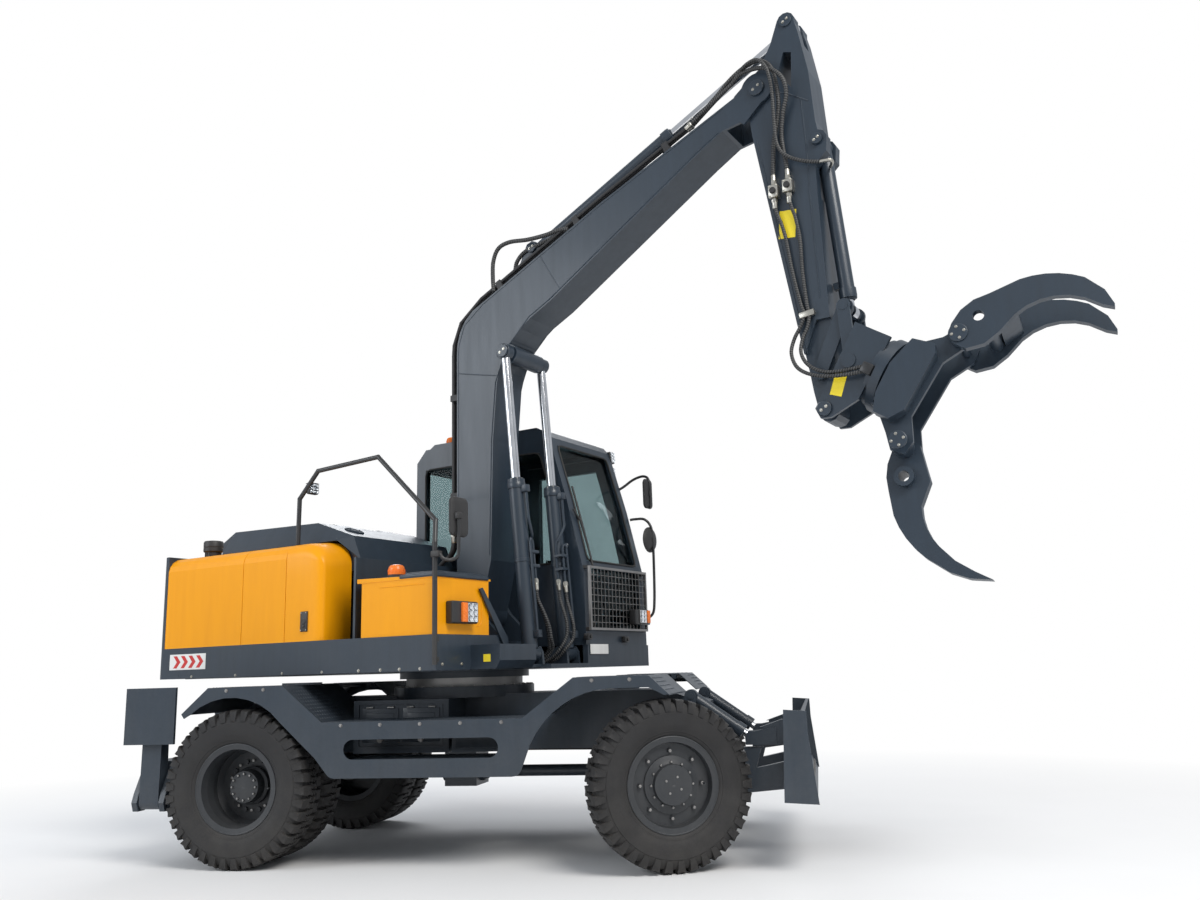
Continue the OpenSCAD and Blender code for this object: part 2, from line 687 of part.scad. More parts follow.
module counterweight() {
    color(slate) upper() difference() {
        union() {
            linear_extrude_at(deck_z + 4, skirt_top - deck_z - 4) polygon(tail(weight_front - 2, upper_half));
            linear_extrude_at(skirt_top, panel_h + 12) polygon(tail(hood_rear - 3, upper_half));
            box([hood_rear - 10, -upper_half + 115, skirt_top - 1], [weight_front - 2, upper_half - 115, panel_top - 40]);
        }
        // Lifting holes in the top
        for (s = sides) translate([-tail_r + 80, s * 600, panel_top - 120]) cylinder(r = 24, h = 200);
    }
}

module engine() {
    color(black) upper() box([-1700, -500, skirt_top], [-700, 150, 2080]);
}

// Section of a side panel from the skirt up and over the top, [distance inwards, up]
function panel_section(t) = concat([[t, 0], [0, 0]],
    arc3([0, panel_h - 110], [34, panel_h - 34], [110, panel_h], 4),
    [[300, panel_h + 22], [300, panel_h + 22 - t], [110 + t / 2, panel_h - t]],
    [[t, panel_h - 110]]);

// A stretch of side panel on side s between x0 and x1
module panel(s, x0, x1) {
    translate([x0, s * upper_half, skirt_top]) mirror([0, s > 0 ? 1 : 0, 0])
        rotate([90, 0, 90]) linear_extrude(x1 - x0) polygon(panel_section(panel_t));
}

seams = [hood_rear, -1155, -690, hood_front];

module side_panels() {
    color(yellow) upper() {
        // Bar that carries the hood's hinge
        box([-1815, -700, panel_top + 20], [-1780, -40, panel_top + 29.8]);
        panel(-1, seams[0], seams[1] - 3);
        panel(-1, seams[1] + 3, seams[2] - 3);
        panel(1, seams[0], -1455);
        // Roof plate between the side panels
        linear_extrude_at(panel_top + 22 - panel_t, panel_t) polygon([[hood_rear, -upper_half + 300],
            [-1800, -upper_half + 300], [-1800, upper_half - 300], [hood_rear, upper_half - 300]]);
    }
}

module engine_door_right() {
    color(yellow) upper() {
        panel(-1, seams[2] + 3, seams[3] - panel_t);
        // Front end of the door, closing the hood's corner
        translate([seams[3] - panel_t, -upper_half, skirt_top]) rotate([90, 0, 90]) linear_extrude(panel_t)
            polygon(concat([[300, 0], [0, 0]],
                arc3([0, panel_h - 110], [34, panel_h - 34], [110, panel_h], 4), [[300, panel_h + 22]]));
    }
    color(black) upper() box([-520, -upper_half - 6, 1580], [-455, -upper_half + 1, 1720]);
}

module engine_door_left() {
    color(yellow) upper() panel(1, -1449, -790);
}

// The hood's long side, as [forward, up from the side panels' top]
hood_line = [[-1790, 30], [-400, 30], [-400, -200], [-250, -200], [-250, -120], [-330, 60],
    [-700, 190], [-1640, 205], [-1780, 130]];
hood_hollow = [[-1766, 0], [-425, 0], [-425, -230], [-275, -230], [-275, -125], [-349, 40],
    [-705, 165], [-1634, 180], [-1758, 114]];

hood_right = -upper_half + 310;

module engine_hood() {
    color(slate) upper() translate([0, 0, panel_top]) difference() {
        slab(hood_right, 1070) polygon(hood_line);
        slab(hood_right + 25, 1020) polygon(hood_hollow);
    }
}

module tank() {
    color(yellow) upper() box([60, -upper_half + 8, skirt_top], [728, -640, tank_top]);
    color(slate) upper() slab(-upper_half + 4, 590) polygon([[20, tank_top], [732, tank_top],
        [732, tank_top + 14], [20, tank_top + 30]]);
}

module handrail() {
    post = [740, -upper_half - 18];
    color(black) upper() {
        tube([[post[0], post[1], deck_z + 40], [post[0], post[1], 2110], [700, post[1] + 53, 2268],
            [95, post[1] + 133, 2797], [-520, post[1] + 143, 2772], [-714, post[1] + 148, 2580],
            [-720, post[1] + 148, panel_top + 4.5]], 17);
        for (z = [deck_z + 60, deck_z + 190]) box([735, post[1] - 4, z], [post[0] + 8, post[1] + 38, z + 30]);
    }
}

// Corners of a rectangle from a to b, rounded by r
function soft_rect(a, b, r) = let (c = [a, [b[0], a[1]], b, [a[0], b[1]]])
    [for (i = [0 : 3]) each round_at(c[(i + 3) % 4], c[i], c[(i + 1) % 4], r, 4)];

// Flat housing of thickness t whose front is at x, outline in [left, up]
module housing(x, t, a, b, r) {
    translate([x, 0, 0]) rotate([90, 0, 90]) linear_extrude(t) polygon(soft_rect(a, b, r));
}

module mirrors() {
    color(black) upper() {
        near = -upper_half + 65;
        // Clamp round the handrail's post
        difference() {
            box([718, -upper_half - 40, 2012], [788, -upper_half + 4, 2052]);
            translate([740, -upper_half - 18, 2000]) cylinder(r = 17.3, h = 100);
        }
        tube([[782, -upper_half - 18, 2030], [815, -upper_half - 10, 1992], [868, near, 2004], [868, near, 2310]], 10);
        housing(822, 38, [near - 50, 2150], [near + 140, 2420], 45);
        out = upper_half + 75;
        for (p = [[900, 1650], [725, 2780]])
            box([p[0] - 22, cab_left, p[1] - 22], [p[0] + 22, cab_left + 12, p[1] + 22]);
        rod([900, cab_left + 13, 1650], [1010, out, 1720], 12);
        rod([1010, out, 1690], [1010, out, 2910], 13);
        rod([725, cab_left + 13, 2780], [1010, out, 2890], 12);
        translate([1010, out, 2330]) rotate([0, 90, 0]) cylinder(r = 110, h = 30);
        housing(1000, 30, [out - 70, 2600], [out + 70, 2860], 40);
    }
}

module lamps() {
    color(black) upper() {
        box([728, -upper_half + 105, 1580], [790, -upper_half + 375, 1730]);
        box([1005, 860, 1600], [1070, 1100, 1720]);
        box([590, cab_left, 2990], [650, cab_left + 40, 3100]);
    }
    // Beacons on the tank and the cab's roof
    color(amber) upper() {
        slab(-upper_half + 25, 140) polygon([[230, tank_top + 25.6], [370, tank_top + 22.5], [370, tank_top + 32],
            [230, tank_top + 32]]);
        translate([300, -upper_half + 95, tank_top + 31]) cylinder(r = 62, h = 88);
        box([-555, 395, cab_top + 10.4], [-445, 505, cab_top + 20]);
        translate([-500, 450, cab_top + 19]) cylinder(r = 52, h = 78);
    }
}

module air_intake() {
    color(black) upper() translate([hood_rear + 78, -upper_half + 355, panel_top + 22.3]) {
        cylinder(r = 62, h = 60);
        translate([0, 0, 52]) cylinder(r = 79, h = 92);
        translate([0, 310, 0]) cylinder(r = 46, h = 146);
    }
}

// Cab: outline of its side, counterclockwise as [forward, up]
cab_side = [[-752, cab_floor], [962, cab_floor], [955, 2000], [815, 2570], [655, 3110], [600, cab_top - 30],
    [-640, cab_top - 30], [-740, 3060]];
cab_left = upper_half - 2;
door_hinge = [-190, cab_left + 14];
door_line = [[-190, 1500], [700, 1500], [860, 1760], [845, 2060], [740, 2560], [600, 3070], [-190, 3070]];
side_glass = [[-100, 2080], [790, 2080], [700, 2500], [560, 2990], [-100, 2990]];

module cab() {
    color(slate) upper() difference() {
        slab(cab_right, cab_left - cab_right) polygon(cab_side);
        slab(cab_right + wall_t, cab_left - cab_right - 2 * wall_t) polygon(inset(cab_side, wall_t));
        // Windscreen above and below the bar at the guard's top
        box([560, cab_right + 90, 2090], [1100, cab_left - 90, 3050]);
        box([560, cab_right + 90, 1560], [1100, cab_left - 90, 2040]);
        // Rear window
        box([-900, cab_right + 120, 2200], [-600, cab_left - 120, 3000]);
        // Right and left windows
        slab(cab_right - 10, wall_t + 20) polygon(side_glass);
        slab(cab_right - 10, wall_t + 20) polygon([[-640, 2200], [-190, 2200], [-190, 2990], [-640, 2990]]);
        slab(cab_left - wall_t - 10, wall_t + 20) polygon(door_line);
        slab(cab_left - wall_t - 10, wall_t + 20)
            polygon([[-640, 2200], [-290, 2200], [-290, 2990], [-640, 2990]]);
    }
    color(slate) upper() slab(cab_right + 20, cab_left - cab_right - 40) polygon([[-620, cab_top - 31],
        [590, cab_top - 31], [520, cab_top + 5], [-560, cab_top + 10]]);
    color(slate) upper() for (z = [1660, 2700]) {
        translate([door_hinge[0], door_hinge[1], z]) cylinder(r = 13, h = 50);
        box([door_hinge[0] - 45, cab_left - 1, z], [door_hinge[0], door_hinge[1], z + 50]);
    }
}

module cab_door() {
    y = cab_left - wall_t;
    color(slate) upper() difference() {
        slab(y, wall_t) polygon(inset(door_line, 5));
        slab(y - 10, wall_t + 20) polygon(inset(side_glass, 30));
    }
    color(slate) upper() for (z = [1710.2, 2750.2]) {
        translate([door_hinge[0], door_hinge[1], z]) cylinder(r = 13, h = 50);
        box([door_hinge[0], cab_left - 1, z], [door_hinge[0] + 45, door_hinge[1], z + 50]);
    }
}

module door_glass() {
    color([0.2, 0.25, 0.28, 0.4]) upper() slab(cab_left - 28, glass_t) polygon(inset(side_glass, 30));
}

module cab_glass() {
    color([0.2, 0.25, 0.28, 0.4]) upper() {
        intersection() {
            difference() {
                slab(cab_right + 90, cab_left - cab_right - 180) polygon(inset(cab_side, 20));
                slab(cab_right + 80, cab_left - cab_right - 160) polygon(inset(cab_side, 20 + glass_t));
            }
            union() {
                box([560, cab_right + 90, 2090], [1100, cab_left - 90, 3050]);
                box([560, cab_right + 90, 1560], [1100, cab_left - 90, 2040]);
                box([-900, cab_right + 120, 2200], [-600, cab_left - 120, 3000]);
            }
        }
        slab(cab_right + 20, glass_t) polygon(side_glass);
        slab(cab_right + 20, glass_t) polygon([[-640, 2200], [-190, 2200], [-190, 2990], [-640, 2990]]);
        slab(cab_left - 26, glass_t) polygon([[-640, 2200], [-290, 2200], [-290, 2990], [-640, 2990]]);
    }
}

module front_guard() {
    y0 = cab_right + 12;
    y1 = cab_left - 60;
    span = y1 - y0;
    color(black) upper() {
        for (y = [y0, y1]) box([990, y - 9, 1550], [1010, y + 9, 2040]);
        for (z = [1550, 2022]) box([990, y0, z], [1010, y1, z + 18]);
        for (i = [1 : 15]) box([1000, y0 + i * span / 16 - 2, 1560], [1005, y0 + i * span / 16 + 2, 2030]);
        for (i = [1 : 8]) box([995, y0, 1558 + i * 52 - 2], [1000, y1, 1558 + i * 52 + 2]);
        for (z = [1610, 1974]) for (y = [y0 + 50, y1 - 4]) rod([962.3 - (z - cab_floor) / 80, y, z], [998, y, z], 7);
    }
}

module seat() {
    color(black) upper() {
        box([-350, 480, cab_floor + wall_t], [100, 980, cab_floor + 260]);
        box([-360, 490, cab_floor + 260], [150, 970, cab_floor + 420]);
        box([-450, 500, cab_floor + 420], [-330, 960, cab_floor + 1060]);
        box([480, 660, cab_floor + wall_t], [560, 800, cab_floor + 620]);
    }
}

// Boom

boom_top = concat([[boom_foot[0] - 118, 1760], [97, 2118], [99, 3780]],
    arc3([104, 3860], [163, 4023], [358, 4170], 4), [[1495, 4728], [2647, 5231]]);
boom_low = concat([[2712, 5030], [2531, 5001], [2334, 4885], [1018, 4044]],
    arc3([827, 3945], [602, 3728], [500, 3480], 5), [[457, 3024], [428, 2092], [boom_foot[0] + 118, 1720]]);

module boom() {
    color(slate) boom_plane() difference() {
        union() {
            mid_slab(0, boom_w) polygon(concat(boom_top, boom_low));
            mid_bar(boom_foot, 118, 0, boom_w);
            mid_bar(arm_pin, 118, 0, boom_w);
            mid_slab(0, boom_w) polygon([[2600, 5100], [2700, 5000], [2900, 5180], [2800, 5360], [2640, 5235]]);
            mid_bar(boom_cyl_head, 72, 0, boom_w + 50);
            // Ears of the arm cylinder
            for (s = sides) mid_slab(s * 71, 22) polygon([[560, 4200], [1050, 4430], [890, 4560],
                arm_cyl_foot + [40, 40], arm_cyl_foot + [0, 58], arm_cyl_foot + [-50, 40], [720, 4540]]);
        }
        mid_bar(boom_foot, 40 + pin_gap, 0, boom_w + 10);
        mid_bar(arm_pin, 36, 0, boom_w + 10);
        // Fork at the end for the arm
        mid_slab(0, arm_w + 2 * run_gap) polygon([[2560, 5330], [2560, 4900], [3000, 4900], [3000, 5600],
            [2700, 5600]]);
    }
    color(steel) boom_plane() {
        mid_bar(boom_foot, 40, 0, 2 * ear_out + 90);
        mid_bar(arm_pin, 36, 0, boom_w + 16);
        mid_bar(arm_cyl_foot, 28, 0, 174);
    }
}

module boom_pipes() {
    line = [[48, 2300], [48, 3780], [54, 3870], [127, 4050], [337, 4215], [1473, 4773], [2260, 5130]];
    color(black) boom_plane() for (y = [-146, -116, 116, 146]) tube([for (p = line) [p[0], y, p[1]]], 13);
    color(black) boom_plane() for (s = sides) for (z = [2600, 3400]) {
        back = 97 + (z - 2118) / 831;
        box([30, s * 131 - 33, z], [back, s * 131 + 33, z + 50]);
    }
    // Clamps on the sloping back
    color(black) boom_plane() for (s = sides) {
        for (d = [180, 1000]) along([358, 4170], [1495, 4728]) box([d, s * 131 - 33, 0], [d + 50, s * 131 + 33, 68]);
        along([1495, 4728], [2647, 5231]) box([620, s * 131 - 33, 0], [670, s * 131 + 33, 78]);
    }
}

// A cylinder's barrel from its foot pin at the origin along X; the bore starts at bore_at
module barrel(d, length, eye_w, pin_r, bore_r, bore_at) {
    difference() {
        union() {
            mid_bar([0, 0], pin_r + 26, 0, eye_w);
            rod([pin_r + 8, 0, 0], [length, 0, 0], d / 2);
            rod([length - 60, 0, 0], [length, 0, 0], d / 2 + 6);
        }
        mid_bar([0, 0], pin_r + pin_gap, 0, eye_w + 20);
        rod([bore_at, 0, 0], [length + 10, 0, 0], bore_r + pin_gap);
    }
}

// Its rod from start to the eye at length
module piston(r, start, length, eye_r, eye_w) {
    rod([start, 0, 0], [length, 0, 0], r);
    mid_bar([length, 0], eye_r, 0, eye_w);
}

boom_barrel_len = 1292;

module boom_barrels() {
    color(slate) boom_plane() for (s = sides) translate([0, s * boom_cyl_y, 0])
        along(boom_cyl_foot, boom_cyl_head) barrel(boom_barrel_d, boom_barrel_len, 120, 30, boom_rod_d / 2, 150);
}

module boom_rods() {
    length = norm(boom_cyl_head - boom_cyl_foot);
    color(steel) boom_plane() for (s = sides) translate([0, s * boom_cyl_y, 0])
        along(boom_cyl_foot, boom_cyl_head) piston(boom_rod_d / 2, 1130, length, 58, 72);
}

// Arm

arm_line = concat(arc3([arm_cyl_head[0] + 62, arm_cyl_head[1] - 20], [arm_cyl_head[0], arm_cyl_head[1] + 65],
    [arm_cyl_head[0] - 62, arm_cyl_head[1] + 20], 6),
    [[2925, 5560], [2830, 5400]], arc3([2745, 5345], [2694, 5243], [2730, 5120], 4),
    [[2745, 4917], [3029, 3138], [3049, 2990]],
    arc3([tool_pin[0] - 68, tool_pin[1] + 10], [tool_pin[0], tool_pin[1] - 68],
        [tool_pin[0] + 68, tool_pin[1] + 10], 6),
    [[3208, 3242], [3185, 4374], [3185, 4560], [3270, 4640]],
    arc3([tool_cyl_foot[0] + 66, tool_cyl_foot[1] - 30], [tool_cyl_foot[0] + 60, tool_cyl_foot[1] + 40],
        [tool_cyl_foot[0] + 10, tool_cyl_foot[1] + 72], 3),
    [[3209, 4884], [3187, 5271], [3131, 5602]]);

module arm() {
    color(slate) boom_plane() difference() {
        mid_slab(0, arm_w) polygon(arm_line);
        // Triangular opening under the tip
        mid_slab(0, arm_w + 20) polygon([[3017, 5471], [3075, 5450], [3057, 5185], [2961, 5311]]);
        mid_bar(arm_pin, 36 + pin_gap, 0, arm_w + 20);
        // Slot for the arm cylinder's rod eye
        mid_slab(0, 90) polygon([[2700, 5430], [2880, 5470], [2975, 5522], [3200, 5522], [3200, 5850],
            [2700, 5850]]);
        // Slot for the tool cylinder's foot
        mid_slab(0, 110) polygon([[3176, 4340], [3400, 4340], [3400, 4900],
            [3205, 4850], [3120, 4800], [3120, 4600], [3162, 4560]]);
        mid_bar(tool_cyl_foot, 26, 0, arm_w + 20);
        // The arm narrows at its end, inside the idler links and the bracket's ears
        for (s = sides) slab(s > 0 ? 105 : -300, 195) polygon([[2900, 2700], [3300, 2700], [3300, 3470],
            [3110, 3470], [3020, 3250], [2900, 3250]]);
        mid_bar(tool_pin, 32, 0, arm_w + 20);
        mid_bar(idler_pin, 28, 0, arm_w + 20);
    }
    color(steel) boom_plane() {
        mid_bar(tool_pin, 32, 0, 410);
        mid_bar(idler_pin, 28, 0, 270);
        mid_bar(tool_cyl_foot, 26, 0, arm_w + 20);
        for (s = sides) mid_bar(arm_cyl_head, 30, s * (arm_w / 2 - 30), 80);
    }
}

module arm_valves() {
    color(black) boom_plane() for (p = [[2892, 4428], [2995, 4443]]) {
        box([p[0] - 34, -arm_w / 2 - 58, p[1] - 46], [p[0] + 34, -arm_w / 2 - 0.4, p[1] + 46]);
        for (d = [-16, 16]) rod([p[0] + d, -arm_w / 2 - 30, p[1] - 74], [p[0] + d, -arm_w / 2 - 30, p[1] + 74], 11);
    }
}

arm_barrel_len = 1400;

module arm_barrel() {
    color(slate) boom_plane() along(arm_cyl_foot, arm_cyl_head)
        barrel(arm_barrel_d, arm_barrel_len, 108, 28, 35, 160);
}

module arm_rod() {
    length = norm(arm_cyl_head - arm_cyl_foot);
    color(steel) boom_plane() along(arm_cyl_foot, arm_cyl_head) piston(35, 980, length, 52, 78);
}

tool_barrel_len = 1130;

module tool_barrel() {
    color(slate) boom_plane() along(tool_cyl_foot, rod_pin)
        barrel(tool_barrel_d, tool_barrel_len, 98, 26, 32, 150);
}

module tool_rod() {
    length = norm(rod_pin - tool_cyl_foot);
    color(steel) boom_plane() along(tool_cyl_foot, rod_pin) piston(32, 165, length, 48, 76);
}

module link_plate(a, b, ra, rb) {
    along(a, b) {
        rotate([90, 0, 0]) linear_extrude(24, center = true) {
            circle(r = ra);
            translate([norm(b - a), 0]) circle(r = rb);
            polygon([[0, -ra * 0.9], [norm(b - a), -rb * 0.9], [norm(b - a), rb * 0.9], [0, ra * 0.9]]);
        }
    }
}

module idler_links() {
    color(slate) boom_plane() difference() {
        union() {
            for (s = sides) translate([0, s * 125, 0]) link_plate(idler_pin, rod_pin, 52, 56);
            for (s = sides) mid_bar(rod_pin, 40, s * 85, 60);
            for (s = sides) mid_bar(rod_pin, 30, s * 150, 36);
        }
        mid_bar(idler_pin, 28 + pin_gap, 0, 400);
    }
}

module tool_link() {
    color(slate) boom_plane() difference() {
        for (s = sides) translate([0, s * 154, 0]) scale([1, 22 / 24, 1]) link_plate(rod_pin, link_pin, 46, 46);
        mid_bar(rod_pin, 30 + pin_gap, 0, 400);
    }
}

module tool_bracket() {
    g = [cos(rotor_tilt), sin(rotor_tilt)];
    n = left_of(g);
    back = rotor_mid - g * 20;
    color(slate) boom_plane() difference() {
        union() {
            for (s = sides) mid_slab(s * 185, 28) polygon([tool_pin + [-30, -60], tool_pin + [40, -62],
                back - n * (collar_r - 30), back + n * (collar_r - 30), back + n * (collar_r - 30) - g * 260,
                link_pin + [-60, 30], tool_pin + [-62, 10]]);
            for (s = sides) mid_bar(link_pin, 46, s * 203, 10);
            translate([rotor_mid[0], 0, rotor_mid[1]]) rotate([0, 90 - rotor_tilt, 0])
                translate([0, 0, -40]) {
                    cylinder(r = collar_r - 20, h = 40 - run_gap);
                    cylinder(r = spigot_r, h = 70);
                }
        }
        mid_bar(tool_pin, 32 + pin_gap, 0, 500);
    }
}

// Grapple, drawn about its rotor: X along the rotor axis, Z across it, jaws in the XZ plane

module grapple() {
    boom_plane() translate([rotor_mid[0], 0, rotor_mid[1]]) rotate([0, -rotor_tilt, 0])
        rotate([rotor_rest, 0, 0]) children();
}

spigot_r = 70;
ear_in = 128;
ear_t = 30;

module grapple_body() {
    color(slate) grapple() difference() {
        union() {
            rotate([0, 90, 0]) cylinder(r = collar_r, h = 60);
            mid_slab(0, 2 * ear_in - 10) polygon([[50, -230], [60, 230], [200, 250], [230, 0], [200, -250]]);
            for (s = sides) {
                mid_slab(s * (ear_in + ear_t / 2), ear_t) polygon([[40, -180], [60, 180],
                    [250, 330], [jaw_pin_upper[0] - 20, 440], [jaw_pin_upper[0] + 60, 420],
                    [jaw_pin_upper[0] + 70, 330], [330, 180], [330, -200], [jaw_pin_lower[0] + 70, -340],
                    [jaw_pin_lower[0] + 60, -430], [jaw_pin_lower[0] - 30, -445], [240, -360]]);
                mid_slab(s * (ear_in + ear_t + 45), 90) polygon([[70, 33], [115, 226], [255, 250],
                    [290, 200], [300, -200], [240, -290], [134, -290], [85, -176]]);
            }
        }
        mid_bar(jaw_pin_upper, 30, 0, 600);
        mid_bar(jaw_pin_lower, 30, 0, 600);
        translate([-10, 0, 0]) rotate([0, 90, 0]) cylinder(r = spigot_r + pin_gap, h = 45);
    }
}

tine_upper = concat(arc3([273, 411], [289, 540], [384, 670], 3), arc3([501, 815], [655, 917], [829, 957], 5),
    [[963, 927], [1051, 868], [1059, 851], [996, 839]],
    arc3([887, 843], [700, 770], [582, 602], 5), [[555, 473], [513, 371], [429, 300], [350, 300], [290, 330]]);
tine_lower = concat(arc3([295, -430], [330, -560], [402, -660], 3), arc3([508, -783], [639, -869], [803, -919], 4),
    [[972, -928], [1086, -904], [1200, -847], [1091, -854], [962, -852]],
    arc3([833, -819], [707, -748], [625, -651], 4), [[596, -490], [507, -400], [430, -320], [340, -310], [290, -340]]);

module jaw_upper() {
    color(slate) grapple() difference() {
        union() {
            for (s = sides) mid_slab(s * (tine_y + 4), tine_t)
                polygon([for (i = [len(tine_upper) - 1 : -1 : 0]) tine_upper[i]]);
            mid_bar([470, 500], 40, 0, 2 * tine_y);
            mid_slab(0, 2 * tine_y) polygon([[455, 560], [520, 520], [575, 640], [540, 690]]);
        }
        mid_bar([394, 518], 34, 0, 600);
    }
    color(steel) grapple() mid_bar(jaw_pin_upper, 30 - pin_gap, 0, 2 * (ear_in + ear_t) + 110);
}

module jaw_lower() {
    color(slate) grapple() difference() {
        union() {
            mid_slab(0, 70) polygon([for (i = [0 : len(tine_lower) - 1]) tine_lower[i]]);
            mid_bar(jaw_pin_lower, 66, 0, 2 * ear_in - 12);
            mid_bar([452, -542], 62, 0, 160);
        }
        mid_bar([452, -542], 34, 0, 600);
    }
    color(steel) grapple() mid_bar(jaw_pin_lower, 30 - pin_gap, 0, 2 * (ear_in + ear_t) + 10);
}

chassis();
blade_carrier();
steps();
tool_boxes();
slewing_ring();
rear_axle();
front_axle();
drive_line();
color(slate) rear_wheel(-1);  // rims_rear_right
color(black) rear_tyres(-1);  // tyres_rear_right
color(slate) rear_wheel(1);  // rims_rear_left
color(black) rear_tyres(1);  // tyres_rear_left
color(slate) front_wheel(-1);  // rim_front_right
color(black) front_tyre(-1);  // tyre_front_right
color(slate) front_wheel(1);  // rim_front_left
color(black) front_tyre(1);  // tyre_front_left
knuckle(-1);  // knuckle_right
knuckle(1);  // knuckle_left
tie_rod();
blade();
blade_barrels();
blade_rods();
outrigger(-1);  // outrigger_right
outrigger(1);  // outrigger_left
foot(-1);  // foot_right
foot(1);  // foot_left
deck();
counterweight();
engine();
side_panels();
engine_door_right();
engine_door_left();
engine_hood();
tank();
handrail();
mirrors();
lamps();
air_intake();
cab();
cab_door();
door_glass();
cab_glass();
front_guard();
seat();
boom();
boom_pipes();
boom_barrels();
boom_rods();
arm();
arm_valves();
arm_barrel();
arm_rod();
tool_barrel();
tool_rod();
idler_links();
tool_link();
tool_bracket();
grapple_body();
jaw_upper();
jaw_lower();
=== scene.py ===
import json
import math

import bmesh
import bpy
from mathutils import Matrix, Vector


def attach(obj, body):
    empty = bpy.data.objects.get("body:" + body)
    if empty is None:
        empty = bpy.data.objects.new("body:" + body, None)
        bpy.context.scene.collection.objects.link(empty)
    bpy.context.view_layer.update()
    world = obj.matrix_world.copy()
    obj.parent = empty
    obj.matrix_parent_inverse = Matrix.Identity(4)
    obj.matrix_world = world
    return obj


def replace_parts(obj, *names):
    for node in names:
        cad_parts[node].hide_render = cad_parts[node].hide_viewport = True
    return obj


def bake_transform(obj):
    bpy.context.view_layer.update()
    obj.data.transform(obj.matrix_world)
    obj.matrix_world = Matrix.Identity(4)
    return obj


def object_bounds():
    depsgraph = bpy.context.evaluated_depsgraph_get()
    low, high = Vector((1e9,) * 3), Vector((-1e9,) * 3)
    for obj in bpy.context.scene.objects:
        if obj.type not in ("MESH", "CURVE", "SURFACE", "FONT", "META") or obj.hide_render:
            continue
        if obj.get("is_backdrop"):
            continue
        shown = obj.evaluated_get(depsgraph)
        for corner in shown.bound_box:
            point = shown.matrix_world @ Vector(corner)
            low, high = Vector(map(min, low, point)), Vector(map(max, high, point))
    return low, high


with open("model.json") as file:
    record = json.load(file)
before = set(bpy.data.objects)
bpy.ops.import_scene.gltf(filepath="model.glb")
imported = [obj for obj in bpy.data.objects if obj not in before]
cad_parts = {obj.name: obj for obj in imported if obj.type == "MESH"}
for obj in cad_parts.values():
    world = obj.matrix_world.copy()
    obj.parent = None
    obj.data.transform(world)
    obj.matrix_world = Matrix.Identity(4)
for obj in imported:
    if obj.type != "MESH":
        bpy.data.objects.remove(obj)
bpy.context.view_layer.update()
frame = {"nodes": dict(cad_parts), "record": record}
nodes = frame["nodes"]
print("frame loaded:", len(nodes), "nodes")

# The machine's own places, in metres, as the part gives them
machine = {
    "swing": math.radians(-20),
    "steer": math.radians(25),
    "rotorTilt": math.radians(-33),
    "rotorTurn": math.radians(-8),
    "boomOffset": 0.05,
    "rearAxle": (-1.24, 0.5275),
    "frontAxle": (1.64, 0.5275),
    "kingPin": 0.905,
    "rotor": (3.502, 3.044),
}


def upperPoint(u, v, z):
    # u forward and v to the left of the turned upper machine
    c, s = math.cos(machine["swing"]), math.sin(machine["swing"])
    return Vector((u * c - v * s, u * s + v * c, z))


def boomPoint(u, z, v=0.0):
    # v is measured from the boom's centreline
    return upperPoint(u, v - machine["boomOffset"], z)


def grapplePoint(g, p, q):
    # g along the rotor, p along the jaws' pins, q across them
    a, t = machine["rotorTilt"], machine["rotorTurn"]
    v = p * math.cos(t) - q * math.sin(t)
    n = p * math.sin(t) + q * math.cos(t)
    u = machine["rotor"][0] + g * math.cos(a) - n * math.sin(a)
    z = machine["rotor"][1] + g * math.sin(a) + n * math.cos(a)
    return boomPoint(u, z, v)


# Shader node groups and materials


def newGroup(name, inputs, outputs):
    # inputs are floats with their defaults, outputs are named with their kind
    group = bpy.data.node_groups.new(name, "ShaderNodeTree")
    for label, value in inputs.items():
        group.interface.new_socket(label, in_out="INPUT", socket_type="NodeSocketFloat").default_value = value
    for label, kind in outputs.items():
        group.interface.new_socket(label, in_out="OUTPUT", socket_type="NodeSocket" + kind)
    return group, group.nodes.new("NodeGroupInput").outputs, group.nodes.new("NodeGroupOutput").inputs


def feed(tree, sock, value):
    # A link from another socket, or a plain value
    if isinstance(value, bpy.types.NodeSocket):
        tree.links.new(value, sock)
    else:
        sock.default_value = value


def node(tree, kind, **settings):
    made = tree.nodes.new(kind)
    for key, value in settings.items():
        if key in made.inputs:
            feed(tree, made.inputs[key], value)
        else:
            setattr(made, key, value)
    return made


def math2(tree, operation, a, b=0.0, clamp=False):
    made = node(tree, "ShaderNodeMath", operation=operation, use_clamp=clamp)
    for sock, value in zip(made.inputs, (a, b)):
        feed(tree, sock, value)
    return made.outputs[0]


def plus(tree, a, b, clamp=False):
    return math2(tree, "ADD", a, b, clamp)


def times(tree, a, b, clamp=False):
    return math2(tree, "MULTIPLY", a, b, clamp)


def mixColor(tree, factor, a, b):
    made = node(tree, "ShaderNodeMix", data_type="RGBA")
    for place, value in ((0, factor), (6, a), (7, b)):
        feed(tree, made.inputs[place], value)
    return made.outputs[2]


def objectCoords(tree):
    return tree.nodes.new("ShaderNodeTexCoord").outputs["Object"]


def scaledBy(tree, vector, scale):
    return node(tree, "ShaderNodeVectorMath", operation="SCALE", Vector=vector, Scale=scale).outputs[0]


def noise(tree, vector, scale, detail=4.0, roughness=0.55):
    made = node(tree, "ShaderNodeTexNoise", Vector=vector, Scale=scale, Detail=detail, Roughness=roughness)
    return made.outputs["Fac"]


def spread(tree, value, low, high):
    made = node(tree, "ShaderNodeMapRange", **{"Value": value, "From Min": low, "From Max": high})
    return made.outputs["Result"]


def shaded(color, factor=1.0):
    return (*(min(1.0, c * factor) for c in color), 1.0)


